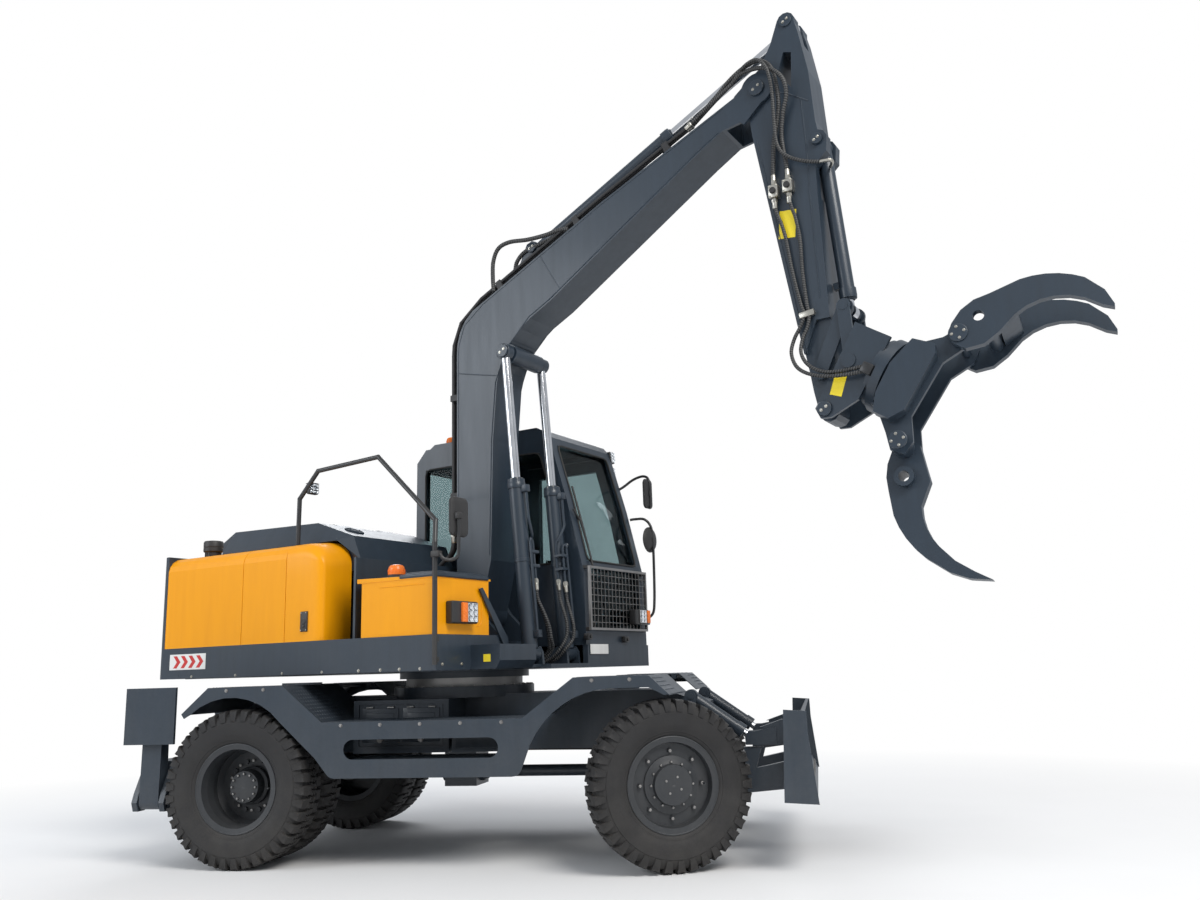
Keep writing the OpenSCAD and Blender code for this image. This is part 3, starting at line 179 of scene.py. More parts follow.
def makeDustGroup():
    # Dust that gathers low down, on faces that look up, and in patches
    group, inp, out = newGroup("dustPatches", {"Amount": 0.3, "Low": 0.2, "High": 1.6, "Scale": 3.0}, {"Mask": "Float"})
    coords = objectCoords(group)
    heights = node(group, "ShaderNodeSeparateXYZ", Vector=coords)
    low = node(group, "ShaderNodeMapRange", **{"Value": heights.outputs["Z"], "From Min": inp["Low"],
        "From Max": inp["High"], "To Min": 1.0, "To Max": 0.12})
    geometry = group.nodes.new("ShaderNodeNewGeometry")
    facing = node(group, "ShaderNodeSeparateXYZ", Vector=geometry.outputs["Normal"])
    top = spread(group, facing.outputs["Z"], 0.2, 1.0)
    scaled = scaledBy(group, coords, inp["Scale"])
    patches = spread(group, noise(group, scaled, 1.0, 6.0, 0.62), 0.38, 0.72)
    fine = noise(group, scaled, 14.0, 3.0, 0.7)
    base = plus(group, low.outputs["Result"], times(group, top, 0.6))
    mottled = times(group, base, plus(group, times(group, patches, 0.7), fine))
    feed(group, out["Mask"], times(group, mottled, inp["Amount"], clamp=True))
    return group


def makeEdgeGroup():
    # Bright worn paint along edges
    group, inp, out = newGroup("wornEdges", {"Width": 0.004, "Amount": 0.5}, {"Mask": "Float"})
    bevel = node(group, "ShaderNodeBevel", samples=4, Radius=inp["Width"])
    geometry = group.nodes.new("ShaderNodeNewGeometry")
    dot = node(group, "ShaderNodeVectorMath", operation="DOT_PRODUCT")
    feed(group, dot.inputs[0], bevel.outputs["Normal"])
    feed(group, dot.inputs[1], geometry.outputs["Normal"])
    edge = spread(group, dot.outputs["Value"], 0.985, 0.8)
    broken = spread(group, noise(group, objectCoords(group), 23.0, 5.0, 0.7), 0.42, 0.62)
    feed(group, out["Mask"], times(group, times(group, edge, broken), inp["Amount"], clamp=True))
    return group


def makeOrangePeelGroup():
    # The fine waviness of sprayed paint, as a normal, and its faint upright streaks
    group, inp, out = newGroup("sprayedPaint", {"Scale": 160.0, "Strength": 0.06},
        {"Normal": "Vector", "Streaks": "Float"})
    coords = objectCoords(group)
    height = noise(group, scaledBy(group, coords, inp["Scale"]), 1.0, 2.0, 0.5)
    bump = node(group, "ShaderNodeBump", Distance=0.002, Height=height, Strength=inp["Strength"])
    feed(group, out["Normal"], bump.outputs["Normal"])
    stretch = node(group, "ShaderNodeMapping", Scale=(5.0, 5.0, 0.5), Vector=coords)
    feed(group, out["Streaks"], noise(group, stretch.outputs[0], 3.0, 5.0, 0.6))
    return group


dustGroup = makeDustGroup()
edgeGroup = makeEdgeGroup()
peelGroup = makeOrangePeelGroup()


def placeGroup(tree, group, **values):
    made = tree.nodes.new("ShaderNodeGroup")
    made.node_tree = group
    for key, value in values.items():
        made.inputs[key].default_value = value
    return made


def startMaterial(name):
    material = bpy.data.materials.new(name)
    material.use_nodes = True
    return material, material.node_tree, material.node_tree.nodes["Principled BSDF"]


def wire(tree, shader, settings):
    for key, value in settings.items():
        feed(tree, shader.inputs[key], value)


def addBump(tree, shader, height, strength, distance):
    bump = node(tree, "ShaderNodeBump", Strength=strength, Distance=distance, Height=height)
    feed(tree, shader.inputs["Normal"], bump.outputs["Normal"])


def paintMaterial(name, look):
    material, tree, shader = startMaterial(name)
    dust = placeGroup(tree, dustGroup, Amount=look["dust"], Low=look["dustLow"], High=look["dustHigh"]).outputs["Mask"]
    edges = placeGroup(tree, edgeGroup, Width=look["edgeWidth"], Amount=look["wear"]).outputs["Mask"]
    peel = placeGroup(tree, peelGroup, Scale=look["peelScale"], Strength=look["peel"]).outputs
    color, shade, edgeColor, dustColor = (shaded(look[key]) for key in ("color", "shade", "edgeColor", "dustColor"))
    streaky = mixColor(tree, spread(tree, peel["Streaks"], 0.35, 0.75), color, shade)
    dusty = mixColor(tree, dust, mixColor(tree, edges, streaky, edgeColor), dustColor)
    plain = plus(tree, times(tree, peel["Streaks"], 0.16), look["roughness"])
    wire(tree, shader, {"Base Color": dusty, "Roughness": plus(tree, times(tree, dust, 0.45), plain, clamp=True),
        "Normal": peel["Normal"], "Coat Weight": look["coat"], "Coat Roughness": 0.12,
        "Specular IOR Level": look.get("gloss", 0.5)})
    material.diffuse_color = color
    return material


paintLooks = {
    "yellowPaint": {"color": (0.88, 0.35, 0.0005), "shade": (0.84, 0.325, 0.0005), "edgeColor": (0.93, 0.5, 0.03),
        "dustColor": (0.7, 0.42, 0.08), "dust": 0.04, "dustLow": 1.2, "dustHigh": 2.6, "edgeWidth": 0.004, "wear": 0.2,
        "peelScale": 150.0, "peel": 0.03, "roughness": 0.3, "coat": 0.04, "gloss": 0.25},
    "slatePaint": {"color": (0.02, 0.033, 0.05), "shade": (0.015, 0.026, 0.04), "edgeColor": (0.085, 0.11, 0.135),
        "dustColor": (0.19, 0.18, 0.165), "dust": 0.14, "dustLow": 0.1, "dustHigh": 1.9, "edgeWidth": 0.005,
        "wear": 0.55, "peelScale": 130.0, "peel": 0.05, "roughness": 0.3, "coat": 0.14},
    "blackPaint": {"color": (0.014, 0.015, 0.017), "shade": (0.02, 0.021, 0.023), "edgeColor": (0.09, 0.09, 0.095),
        "dustColor": (0.2, 0.18, 0.15), "dust": 0.18, "dustLow": 0.2, "dustHigh": 2.2, "edgeWidth": 0.003, "wear": 0.4,
        "peelScale": 180.0, "peel": 0.05, "roughness": 0.32, "coat": 0.15},
    "rimPaint": {"color": (0.02, 0.024, 0.029), "shade": (0.028, 0.031, 0.036), "edgeColor": (0.12, 0.13, 0.14),
        "dustColor": (0.14, 0.13, 0.115), "dust": 0.14, "dustLow": 0.0, "dustHigh": 1.1, "edgeWidth": 0.004,
        "wear": 0.5, "peelScale": 140.0, "peel": 0.08, "roughness": 0.38, "coat": 0.08},
    "redPaint": {"color": (0.62, 0.018, 0.016), "shade": (0.5, 0.02, 0.015), "edgeColor": (0.7, 0.1, 0.08),
        "dustColor": (0.4, 0.25, 0.18), "dust": 0.1, "dustLow": 0.2, "dustHigh": 2.0, "edgeWidth": 0.002, "wear": 0.1,
        "peelScale": 200.0, "peel": 0.03, "roughness": 0.3, "coat": 0.1},
    "whitePaint": {"color": (0.82, 0.82, 0.8), "shade": (0.74, 0.74, 0.72), "edgeColor": (0.86, 0.86, 0.84),
        "dustColor": (0.5, 0.46, 0.4), "dust": 0.1, "dustLow": 0.2, "dustHigh": 2.2, "edgeWidth": 0.002, "wear": 0.1,
        "peelScale": 200.0, "peel": 0.03, "roughness": 0.35, "coat": 0.1},
}
paint = {name: paintMaterial(name, look) for name, look in paintLooks.items()}


def rubberMaterial(name, color, dustAmount, roughness, dustHigh):
    material, tree, shader = startMaterial(name)
    dust = placeGroup(tree, dustGroup, Amount=dustAmount, Low=0.0, High=dustHigh, Scale=7.0)
    coords = objectCoords(tree)
    patchy = noise(tree, coords, 9.0, 4.0, 0.6)
    dark = mixColor(tree, spread(tree, patchy, 0.3, 0.7), shaded(color), shaded(color, 1.9))
    wire(tree, shader, {"Base Color": mixColor(tree, dust.outputs["Mask"], dark, (0.22, 0.2, 0.17, 1)),
        "Roughness": plus(tree, times(tree, patchy, 0.2), roughness, clamp=True)})
    addBump(tree, shader, noise(tree, coords, 320.0, 3.0, 0.6), 0.25, 0.001)
    return material


tyreRubber = rubberMaterial("tyreRubber", (0.008, 0.008, 0.009), 0.11, 0.6, 1.1)
hoseRubber = rubberMaterial("hoseRubber", (0.01, 0.01, 0.011), 0.1, 0.42, 1.0)
softRubber = rubberMaterial("sealRubber", (0.014, 0.014, 0.014), 0.1, 0.55, 1.0)


def metalMaterial(name, color, roughness, scratchScale, scratchAmount):
    material, tree, shader = startMaterial(name)
    coords = objectCoords(tree)
    fine = noise(tree, coords, scratchScale, 4.0, 0.7)
    broad = noise(tree, coords, 6.0, 3.0, 0.5)
    tone = mixColor(tree, spread(tree, broad, 0.35, 0.7), shaded(color), shaded(color, 0.82))
    wire(tree, shader, {"Base Color": tone, "Metallic": 1.0,
        "Roughness": plus(tree, times(tree, fine, scratchAmount), roughness, clamp=True)})
    addBump(tree, shader, fine, 0.08, 0.0005)
    return material


rodChrome = metalMaterial("rodChrome", (0.8, 0.81, 0.83), 0.07, 420.0, 0.1)
bareSteel = metalMaterial("bareSteel", (0.36, 0.35, 0.34), 0.34, 90.0, 0.22)
zincPlate = metalMaterial("zincPlate", (0.58, 0.56, 0.5), 0.28, 140.0, 0.16)
mirrorSilver = metalMaterial("mirrorSilver", (0.86, 0.88, 0.9), 0.02, 30.0, 0.02)
lampSilver = metalMaterial("lampSilver", (0.9, 0.91, 0.92), 0.1, 60.0, 0.05)


def glassMaterial(name, color, roughness):
    material, tree, shader = startMaterial(name)
    film = noise(tree, objectCoords(tree), 2.2, 4.0, 0.6)
    wire(tree, shader, {"Base Color": mixColor(tree, spread(tree, film, 0.3, 0.8), shaded(color), shaded(color, 0.9)),
        "Roughness": plus(tree, times(tree, film, 0.03), roughness), "Transmission Weight": 1.0, "IOR": 1.12,
        "Specular IOR Level": 0.9})
    return material


windowGlass = glassMaterial("windowGlass", (0.4, 0.49, 0.5), 0.01)
lampGlass = glassMaterial("lampGlass", (0.93, 0.95, 0.97), 0.05)


def plasticMaterial(name, color, roughness, grainScale):
    material, tree, shader = startMaterial(name)
    dust = placeGroup(tree, dustGroup, Amount=0.1, Low=0.5, High=3.0)
    grain = noise(tree, objectCoords(tree), grainScale, 2.0, 0.5)
    tone = mixColor(tree, grain, shaded(color), shaded(color, 1.35))
    wire(tree, shader, {"Base Color": mixColor(tree, dust.outputs["Mask"], tone, (0.25, 0.23, 0.2, 1)),
        "Roughness": plus(tree, times(tree, grain, 0.2), roughness)})
    addBump(tree, shader, grain, 0.2, 0.0006)
    return material


blackPlastic = plasticMaterial("blackPlastic", (0.018, 0.018, 0.019), 0.42, 240.0)
amberPlastic = plasticMaterial("amberPlastic", (0.85, 0.17, 0.01), 0.18, 120.0)
labelYellow = plasticMaterial("labelYellow", (0.8, 0.6, 0.02), 0.35, 160.0)


def fabricMaterial(name, color):
    material, tree, shader = startMaterial(name)
    coords = objectCoords(tree)
    across = node(tree, "ShaderNodeTexWave", Scale=220.0, Distortion=0.4, Vector=coords)
    upright = node(tree, "ShaderNodeTexWave", Scale=220.0, Distortion=0.4, Vector=coords, bands_direction="Z")
    weave = times(tree, across.outputs["Fac"], upright.outputs["Fac"])
    wire(tree, shader, {"Base Color": mixColor(tree, weave, shaded(color), shaded(color, 2.2)),
        "Roughness": plus(tree, times(tree, weave, 0.1), 0.8)})
    addBump(tree, shader, weave, 0.3, 0.0008)
    return material


seatFabric = fabricMaterial("seatFabric", (0.02, 0.021, 0.023))


def wrapMaterial(name, dark, light, pitch):
    # Hose with a spiral guard: the turns follow the run and around attributes of the tube
    material, tree, shader = startMaterial(name)
    run = node(tree, "ShaderNodeAttribute", attribute_name="run")
    around = node(tree, "ShaderNodeAttribute", attribute_name="around")
    parts = node(tree, "ShaderNodeSeparateXYZ", Vector=around.outputs["Vector"])
    angle = times(tree, run.outputs["Fac"], 2 * math.pi / pitch)
    wave = plus(tree, times(tree, math2(tree, "SINE", angle), parts.outputs[0]),
        times(tree, math2(tree, "COSINE", angle), parts.outputs[1]))
    ridge = spread(tree, wave, -0.25, 0.45)
    wear = noise(tree, objectCoords(tree), 22.0, 4.0, 0.6)
    wire(tree, shader, {"Base Color": mixColor(tree, times(tree, ridge, wear), shaded(dark), shaded(light)),
        "Roughness": plus(tree, times(tree, wear, 0.25), 0.38)})
    addBump(tree, shader, ridge, 0.9, 0.003)
    return material


wrappedHose = wrapMaterial("wrappedHose", (0.012, 0.013, 0.014), (0.13, 0.13, 0.13), 0.017)
print("materials made:", len(bpy.data.materials))

# Finishes of the frame's own nodes

slotFinish = {
    "yellow_paint": paint["yellowPaint"],
    "slate_paint": paint["slatePaint"],
    "black_paint": paint["blackPaint"],
    "tyre_rubber": tyreRubber,
    "window_glass": windowGlass,
    "rod_chrome": rodChrome,
    "black_plastic": blackPlastic,
    "bare_steel": bareSteel,
}
nodeFinish = {part["node"]: slotFinish[part["material_slot"]] for part in frame["record"]["subparts"]}
nodeFinish.update({"boom_pipes": hoseRubber, "front_guard": bareSteel, "boom_rods": rodChrome})
for name, obj in nodes.items():
    obj.data.materials.clear()
    obj.data.materials.append(paint["rimPaint"] if name.startswith("rim") else nodeFinish[name])
print("node finishes set")

# Tools for making pieces


def link(obj):
    bpy.context.scene.collection.objects.link(obj)
    return obj


def meshFrom(name, bm):
    mesh = bpy.data.meshes.new(name)
    bm.to_mesh(mesh)
    bm.free()
    return mesh


def madeMesh(obj):
    # What the modifiers or the curve of an object make
    return bpy.data.meshes.new_from_object(obj.evaluated_get(bpy.context.evaluated_depsgraph_get()))


def circle(count, radius=1.0, phase=0.0):
    # Points of a circle as pairs of a cosine and a sine
    turns = [phase + 2 * math.pi * k / count for k in range(count)]
    return [(radius * math.cos(a), radius * math.sin(a)) for a in turns]


def pieceFromMesh(name, mesh, body, material, smooth=35):
    obj = link(bpy.data.objects.new(name, mesh))
    if material:
        mesh.materials.clear()
        mesh.materials.append(material)
    for polygon in mesh.polygons:
        polygon.use_smooth = True
    mesh.set_sharp_from_angle(angle=math.radians(smooth))
    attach(obj, body)
    return obj


def finishPiece(name, bm, place, body, material, smooth=35):
    bm.transform(place)
    bmesh.ops.remove_doubles(bm, verts=bm.verts, dist=1e-5)
    bmesh.ops.recalc_face_normals(bm, faces=bm.faces)
    return pieceFromMesh(name, meshFrom(name, bm), body, material, smooth)


def addBox(bm, low, high, place=None):
    # An upright box between two corners, moved by place
    corners = [Vector((x, y, z)) for x in (low[0], high[0]) for y in (low[1], high[1]) for z in (low[2], high[2])]
    verts = [bm.verts.new(place @ c if place else c) for c in corners]
    for ids in ((0, 1, 3, 2), (4, 6, 7, 5), (0, 4, 5, 1), (2, 3, 7, 6), (0, 2, 6, 4), (1, 5, 7, 3)):
        bm.faces.new([verts[i] for i in ids])


def addRing(bm, centre, axis, radii, heights, count):
    # Rings of one turned shape, one for each radius and height along axis
    axis = Vector(axis).normalized()
    side = axis.orthogonal().normalized()
    other = axis.cross(side)
    rings = []
    for radius, height in zip(radii, heights):
        middle = Vector(centre) + axis * height
        if radius < 1e-6:
            rings.append([bm.verts.new(middle)])
        else:
            rings.append([bm.verts.new(middle + (side * c + other * s) * radius) for c, s in circle(count)])
    for a, b in zip(rings, rings[1:]):
        for i in range(count):
            j = (i + 1) % count
            if len(a) == 1 and len(b) == 1:
                continue
            if len(a) == 1:
                bm.faces.new((a[0], b[j], b[i]))
            elif len(b) == 1:
                bm.faces.new((a[i], a[j], b[0]))
            else:
                bm.faces.new((a[i], a[j], b[j], b[i]))


def bridge(bm, rings):
    # Closed rings of equal count joined into a skin
    for a, b in zip(rings, rings[1:]):
        for k in range(len(a)):
            j = (k + 1) % len(a)
            bm.faces.new((a[k], a[j], b[j], b[k]))


def tubeMesh(name, paths, radius, sides):
    # Round tubes along smooth paths, one mesh for all
    curve = bpy.data.curves.new(name, "CURVE")
    curve.dimensions = "3D"
    curve.bevel_depth = radius
    curve.bevel_resolution = max(1, sides // 4)
    curve.resolution_u = 6
    curve.use_fill_caps = True
    for path in paths:
        spline = curve.splines.new("NURBS")
        spline.points.add(len(path) - 1)
        for point, place in zip(spline.points, path):
            point.co = (*place, 1.0)
        spline.order_u = 3
        spline.use_endpoint_u = True
    holder = link(bpy.data.objects.new(name, curve))
    mesh = madeMesh(holder)
    bpy.data.objects.remove(holder)
    bpy.data.curves.remove(curve)
    mesh.name = name
    return mesh


def straightTubes(name, paths, radius, sides):
    # Tubes with sharp bends, each vertex with its run along and its place around the tube
    bm = bmesh.new()
    runLayer = bm.verts.layers.float.new("run")
    aroundLayer = bm.verts.layers.float_vector.new("around")
    for path in paths:
        rings, side, run = [], None, 0.0
        points = [Vector(p) for p in path]
        for i, point in enumerate(points):
            before = (point - points[i - 1]).normalized() if i else None
            after = (points[i + 1] - point).normalized() if i + 1 < len(points) else None
            along = ((before or after) + (after or before)).normalized()
            side = (along.orthogonal() if side is None else side - along * side.dot(along)).normalized()
            other = along.cross(side)
            grow = 1.0 / max(0.5, along.dot(after or before))
            run += (point - points[i - 1]).length if i else 0.0
            ring = []
            for c, s in circle(sides):
                vert = bm.verts.new(point + (side * c + other * s) * radius * grow)
                vert[runLayer] = run
                vert[aroundLayer] = (c, s, 0.0)
                ring.append(vert)
            rings.append(ring)
        bridge(bm, rings)
        bm.faces.new(list(reversed(rings[0])))
        bm.faces.new(rings[-1])
    bmesh.ops.recalc_face_normals(bm, faces=bm.faces)
    return meshFrom(name, bm)


# Camera, light and floor

cameraSetup = {
    "place": (2.7132, -7.9745, 1.2436),
    "yaw": 0.1958,
    "pitch": 0.2082,
    "roll": -0.0302,
    "focal": 1043.5937,
    "imageWidth": 1200.0,
    "sensor": 36.0,
}


def makeCamera(setup):
    yaw, pitch, roll = setup["yaw"], setup["pitch"], setup["roll"]
    ahead = Vector((-math.sin(yaw) * math.cos(pitch), math.cos(yaw) * math.cos(pitch), math.sin(pitch)))
    right = Vector((math.cos(yaw), math.sin(yaw), 0.0))
    above = right.cross(ahead)
    c, s = math.cos(roll), math.sin(roll)
    right, above = right * c + above * s, above * c - right * s
    data = bpy.data.cameras.new("photoCamera")
    data.sensor_width = setup["sensor"]
    data.sensor_fit = "HORIZONTAL"
    data.lens = setup["focal"] / setup["imageWidth"] * setup["sensor"]
    camera = link(bpy.data.objects.new("photoCamera", data))
    turn = Matrix((right, above, -ahead)).transposed()
    camera.matrix_world = Matrix.Translation(setup["place"]) @ turn.to_4x4()
    bpy.context.scene.camera = camera


floorLook = {"size": 60.0, "dark": 0.8, "light": 0.84, "roughness": 0.85, "fadeFrom": 3.5, "fadeTo": 9.0}


def mixShaders(tree, factor, first, second, end):
    made = tree.nodes.new("ShaderNodeMixShader")
    for sock, value in zip(made.inputs, (factor, first, second)):
        feed(tree, sock, value)
    tree.links.new(made.outputs[0], end)


def makeFloor(look):
    mesh = bpy.data.meshes.new("studioFloor")
    size = look["size"]
    mesh.from_pydata([(-size, -size, 0), (size, -size, 0), (size, size, 0), (-size, size, 0)], [], [(0, 1, 2, 3)])
    floor = link(bpy.data.objects.new("studioFloor", mesh))
    material, tree, shader = startMaterial("floorWhite")
    coords = objectCoords(tree)
    dark, light = (shaded((look[key],) * 3) for key in ("dark", "light"))
    wire(tree, shader, {"Base Color": mixColor(tree, noise(tree, coords, 1.2, 3.0, 0.5), dark, light),
        "Roughness": look["roughness"]})
    # Seen from afar the floor fades into the white background, the shadow stays near the machine
    gap = node(tree, "ShaderNodeVectorMath", operation="LENGTH", Vector=coords)
    far = times(tree, spread(tree, gap.outputs["Value"], look["fadeFrom"], look["fadeTo"]),
        tree.nodes.new("ShaderNodeLightPath").outputs["Is Camera Ray"])
    glow = node(tree, "ShaderNodeEmission", Color=(1, 1, 1, 1), Strength=1.0)
    mixShaders(tree, far, shader.outputs[0], glow.outputs[0], tree.nodes["Material Output"].inputs["Surface"])
    mesh.materials.append(material)
    floor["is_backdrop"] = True


worldLook = {"soft": (0.9, 0.94, 1.0, 1), "strength": 0.55}


def makeWorld(look):
    world = bpy.data.worlds.new("studioWorld")
    bpy.context.scene.world = world
    world.use_nodes = True
    tree = world.node_tree
    tree.nodes.clear()
    out = tree.nodes.new("ShaderNodeOutputWorld")
    path = tree.nodes.new("ShaderNodeLightPath")
    seen = math2(tree, "MAXIMUM", path.outputs["Is Camera Ray"], path.outputs["Is Transmission Ray"])
    plain = node(tree, "ShaderNodeBackground", Color=(1, 1, 1, 1), Strength=1.0)
    soft = node(tree, "ShaderNodeBackground", Color=look["soft"], Strength=look["strength"])
    mixShaders(tree, seen, soft.outputs[0], plain.outputs[0], out.inputs[0])


# Place, target, size, power and colour of each lamp
studioLamps = {
    "keyLamp": ((9.0, -9.0, 13.0), (0.5, 0.0, 2.0), (7.0, 7.0), 1900.0, (1.0, 0.975, 0.94)),
    "fillLamp": ((-11.0, -8.0, 7.0), (0.0, 0.0, 2.0), (8.0, 6.0), 650.0, (0.92, 0.96, 1.0)),
    "backLamp": ((-3.0, 12.0, 10.0), (0.5, 0.0, 2.5), (9.0, 5.0), 700.0, (0.95, 0.97, 1.0)),
}


def makeLamp(name, place, target, size, power, color):
    data = bpy.data.lights.new(name, "AREA")
    data.shape = "RECTANGLE"
    data.size, data.size_y = size
    data.energy = power
    data.color = color
    lamp = link(bpy.data.objects.new(name, data))
    lamp.location = place
    lamp.rotation_euler = (Vector(target) - Vector(place)).to_track_quat("-Z", "Y").to_euler()


makeCamera(cameraSetup)
makeFloor(floorLook)
makeWorld(worldLook)
for name, settings in studioLamps.items():
    makeLamp(name, *settings)
bpy.context.scene.view_settings.view_transform = "Standard"
print("camera, lamps and floor ready")

upperTurn = Matrix.Rotation(machine["swing"], 4, "Z")
straight = Matrix.Identity(4)
mirrored = Matrix.Scale(-1, 4, (0, 1, 0))


def upperPath(points):
    return [upperTurn @ Vector(p) for p in points]


def boomPath(points):
    return [boomPoint(*p) for p in points]


def upperPlace(x, y, z):
    return upperTurn @ Matrix.Translation((x, y, z))


def tippedPlace(point, angle=0.0):
    # At a point, turned with the upper machine and tipped about its own Y
    return Matrix.Translation(point) @ upperTurn @ Matrix.Rotation(angle, 4, "Y")


def acrossBoom(side):
    # Out of the boom's plane: -1 to the right, 1 to the left
    return (boomPoint(0, 0, side) - boomPoint(0, 0, 0)).normalized()


def plateOutline(bm, outline, y0, y1):
    # A flat outline in the XZ plane, thickened from y0 to y1
    near = [bm.verts.new((x, y0, z)) for x, z in outline]
    far = [bm.verts.new((x, y1, z)) for x, z in outline]
    bm.faces.new(near)
    bm.faces.new(list(reversed(far)))
    for i in range(len(outline)):
        j = (i + 1) % len(outline)
        bm.faces.new((near[j], near[i], far[i], far[j]))


def roundedBox(low, high, radius, segments=2):
    bm = bmesh.new()
    addBox(bm, low, high)
    bmesh.ops.recalc_face_normals(bm, faces=bm.faces)
    bmesh.ops.bevel(bm, geom=list(bm.edges), offset=radius, segments=segments, profile=0.5, affect="EDGES")
    return bm


def mergeInto(bm, other, place=straight):
    # Puts a second mesh in this one
    other.transform(place)
    mesh = meshFrom("part", other)
    bm.from_mesh(mesh)
    bpy.data.meshes.remove(mesh)


def boxInto(bm, low, high, radius, segments=2, place=straight):
    mergeInto(bm, roundedBox(low, high, radius, segments), place)


def sideBox(bm, x, y, z, radius, segments=2):
    # A rounded box whose y pair may be given from either side
    y = sorted(y)
    boxInto(bm, (x[0], y[0], z[0]), (x[1], y[1], z[1]), radius, segments)


def smoothPath(points, steps=6):
    # A smooth line through the given points
    places = [Vector(p) for p in points]
    line = []
    for i in range(len(places) - 1):
        a = places[max(0, i - 1)]
        b, c = places[i], places[i + 1]
        d = places[min(len(places) - 1, i + 2)]
        for k in range(steps):
            t = k / steps
            line.append(0.5 * ((2 * b) + (c - a) * t + (2 * a - 5 * b + 4 * c - d) * t * t
                + (3 * b - a - 3 * c + d) * t ** 3))
    line.append(places[-1])
    return line


def tubePiece(name, paths, radius, sides, body, material):
    pieceFromMesh(name, straightTubes(name, paths, radius, sides), body, material)


# Geometry node groups for everything that repeats


def geometryGroup(name, inputs):
    group = bpy.data.node_groups.new(name, "GeometryNodeTree")
    group.interface.new_socket("Geometry", in_out="INPUT", socket_type="NodeSocketGeometry")
    for label, kind in inputs.items():
        group.interface.new_socket(label, in_out="INPUT", socket_type="NodeSocket" + kind)
    group.interface.new_socket("Geometry", in_out="OUTPUT", socket_type="NodeSocketGeometry")
    return group, group.nodes.new("NodeGroupInput").outputs, group.nodes.new("NodeGroupOutput").inputs


def finishGroup(group, inp, out, points, **turns):
    # Copies of the shape on the points, made real and painted
    info = node(group, "GeometryNodeObjectInfo", Object=inp["Shape"])
    copies = node(group, "GeometryNodeInstanceOnPoints", Points=points, Instance=info.outputs["Geometry"], **turns)
    real = node(group, "GeometryNodeRealizeInstances", Geometry=copies.outputs[0])
    coat = node(group, "GeometryNodeSetMaterial", Geometry=real.outputs[0], Material=inp["Finish"])
    feed(group, out["Geometry"], coat.outputs[0])
    return group


def makeRingCopies():
    # The shape turned about the Y axis, Count times
    group, inp, out = geometryGroup("ringCopies", {"Shape": "Object", "Count": "Int", "Phase": "Float",
        "Finish": "Material"})
    points = node(group, "GeometryNodePoints", Count=inp["Count"])
    index = group.nodes.new("GeometryNodeInputIndex").outputs[0]
    step = math2(group, "DIVIDE", 2 * math.pi, inp["Count"])
    turn = node(group, "ShaderNodeCombineXYZ", Y=plus(group, times(group, index, step), inp["Phase"]))
    return finishGroup(group, inp, out, points.outputs[0], Rotation=turn.outputs[0])


def makeRowCopies():
    # The shape moved by Step, Count times, in Rows rows moved by Across
    group, inp, out = geometryGroup("rowCopies", {"Shape": "Object", "Count": "Int", "Step": "Vector", "Rows": "Int",
        "Across": "Vector", "Finish": "Material"})
    points = node(group, "GeometryNodePoints", Count=times(group, inp["Count"], inp["Rows"]))
    index = group.nodes.new("GeometryNodeInputIndex").outputs[0]
    row = math2(group, "FLOOR", math2(group, "DIVIDE", plus(group, index, 0.5), inp["Count"]))
    column = math2(group, "SUBTRACT", index, times(group, row, inp["Count"]))
    total = node(group, "ShaderNodeVectorMath", operation="ADD")
    for sock, amount, vector in zip(total.inputs, (column, row), (inp["Step"], inp["Across"])):
        feed(group, sock, scaledBy(group, vector, amount))
    feed(group, points.inputs["Position"], total.outputs[0])
    return finishGroup(group, inp, out, points.outputs[0])


def makePlacedCopies():
    # The shape on every vertex, turned by the vertex's turn and sized by its size
    group, inp, out = geometryGroup("placedCopies", {"Shape": "Object", "Finish": "Material"})
    turn = node(group, "GeometryNodeInputNamedAttribute", data_type="FLOAT_VECTOR", Name="turn")
    size = node(group, "GeometryNodeInputNamedAttribute", data_type="FLOAT", Name="size")
    return finishGroup(group, inp, out, inp["Geometry"], Rotation=turn.outputs[0], Scale=size.outputs[0])


ringCopies = makeRingCopies()
rowCopies = makeRowCopies()
placedCopies = makePlacedCopies()


def runGroup(name, carrier, group, values):
    # Runs a node group on a mesh and returns the mesh it makes
    holder = link(bpy.data.objects.new(name, carrier))
    modifier = holder.modifiers.new("copies", "NODES")
    modifier.node_group = group
    for item in group.interface.items_tree:
        if item.in_out == "INPUT" and item.name in values:
            modifier[item.identifier] = values[item.name]
    mesh = madeMesh(holder)
    holder.modifiers.clear()
    bpy.data.objects.remove(holder)
    mesh.name = name
    return mesh


def shapeObject(name, bm):
    # A shape that is only copied, kept out of the scene
    bmesh.ops.remove_doubles(bm, verts=bm.verts, dist=1e-6)
    bmesh.ops.recalc_face_normals(bm, faces=bm.faces)
    return bpy.data.objects.new(name, meshFrom(name, bm))


def rowMesh(name, shape, count, step, material, rows=1, across=(0, 0, 0)):
    return runGroup(name, bpy.data.meshes.new(name), rowCopies, {"Shape": shape, "Count": count, "Step": step,
        "Rows": rows, "Across": across, "Finish": material})


def joinMeshes(name, meshes, place=straight):
    bm = bmesh.new()
    for mesh in meshes:
        bm.from_mesh(mesh)
    bm.transform(place)
    bmesh.ops.recalc_face_normals(bm, faces=bm.faces)
    return meshFrom(name, bm)


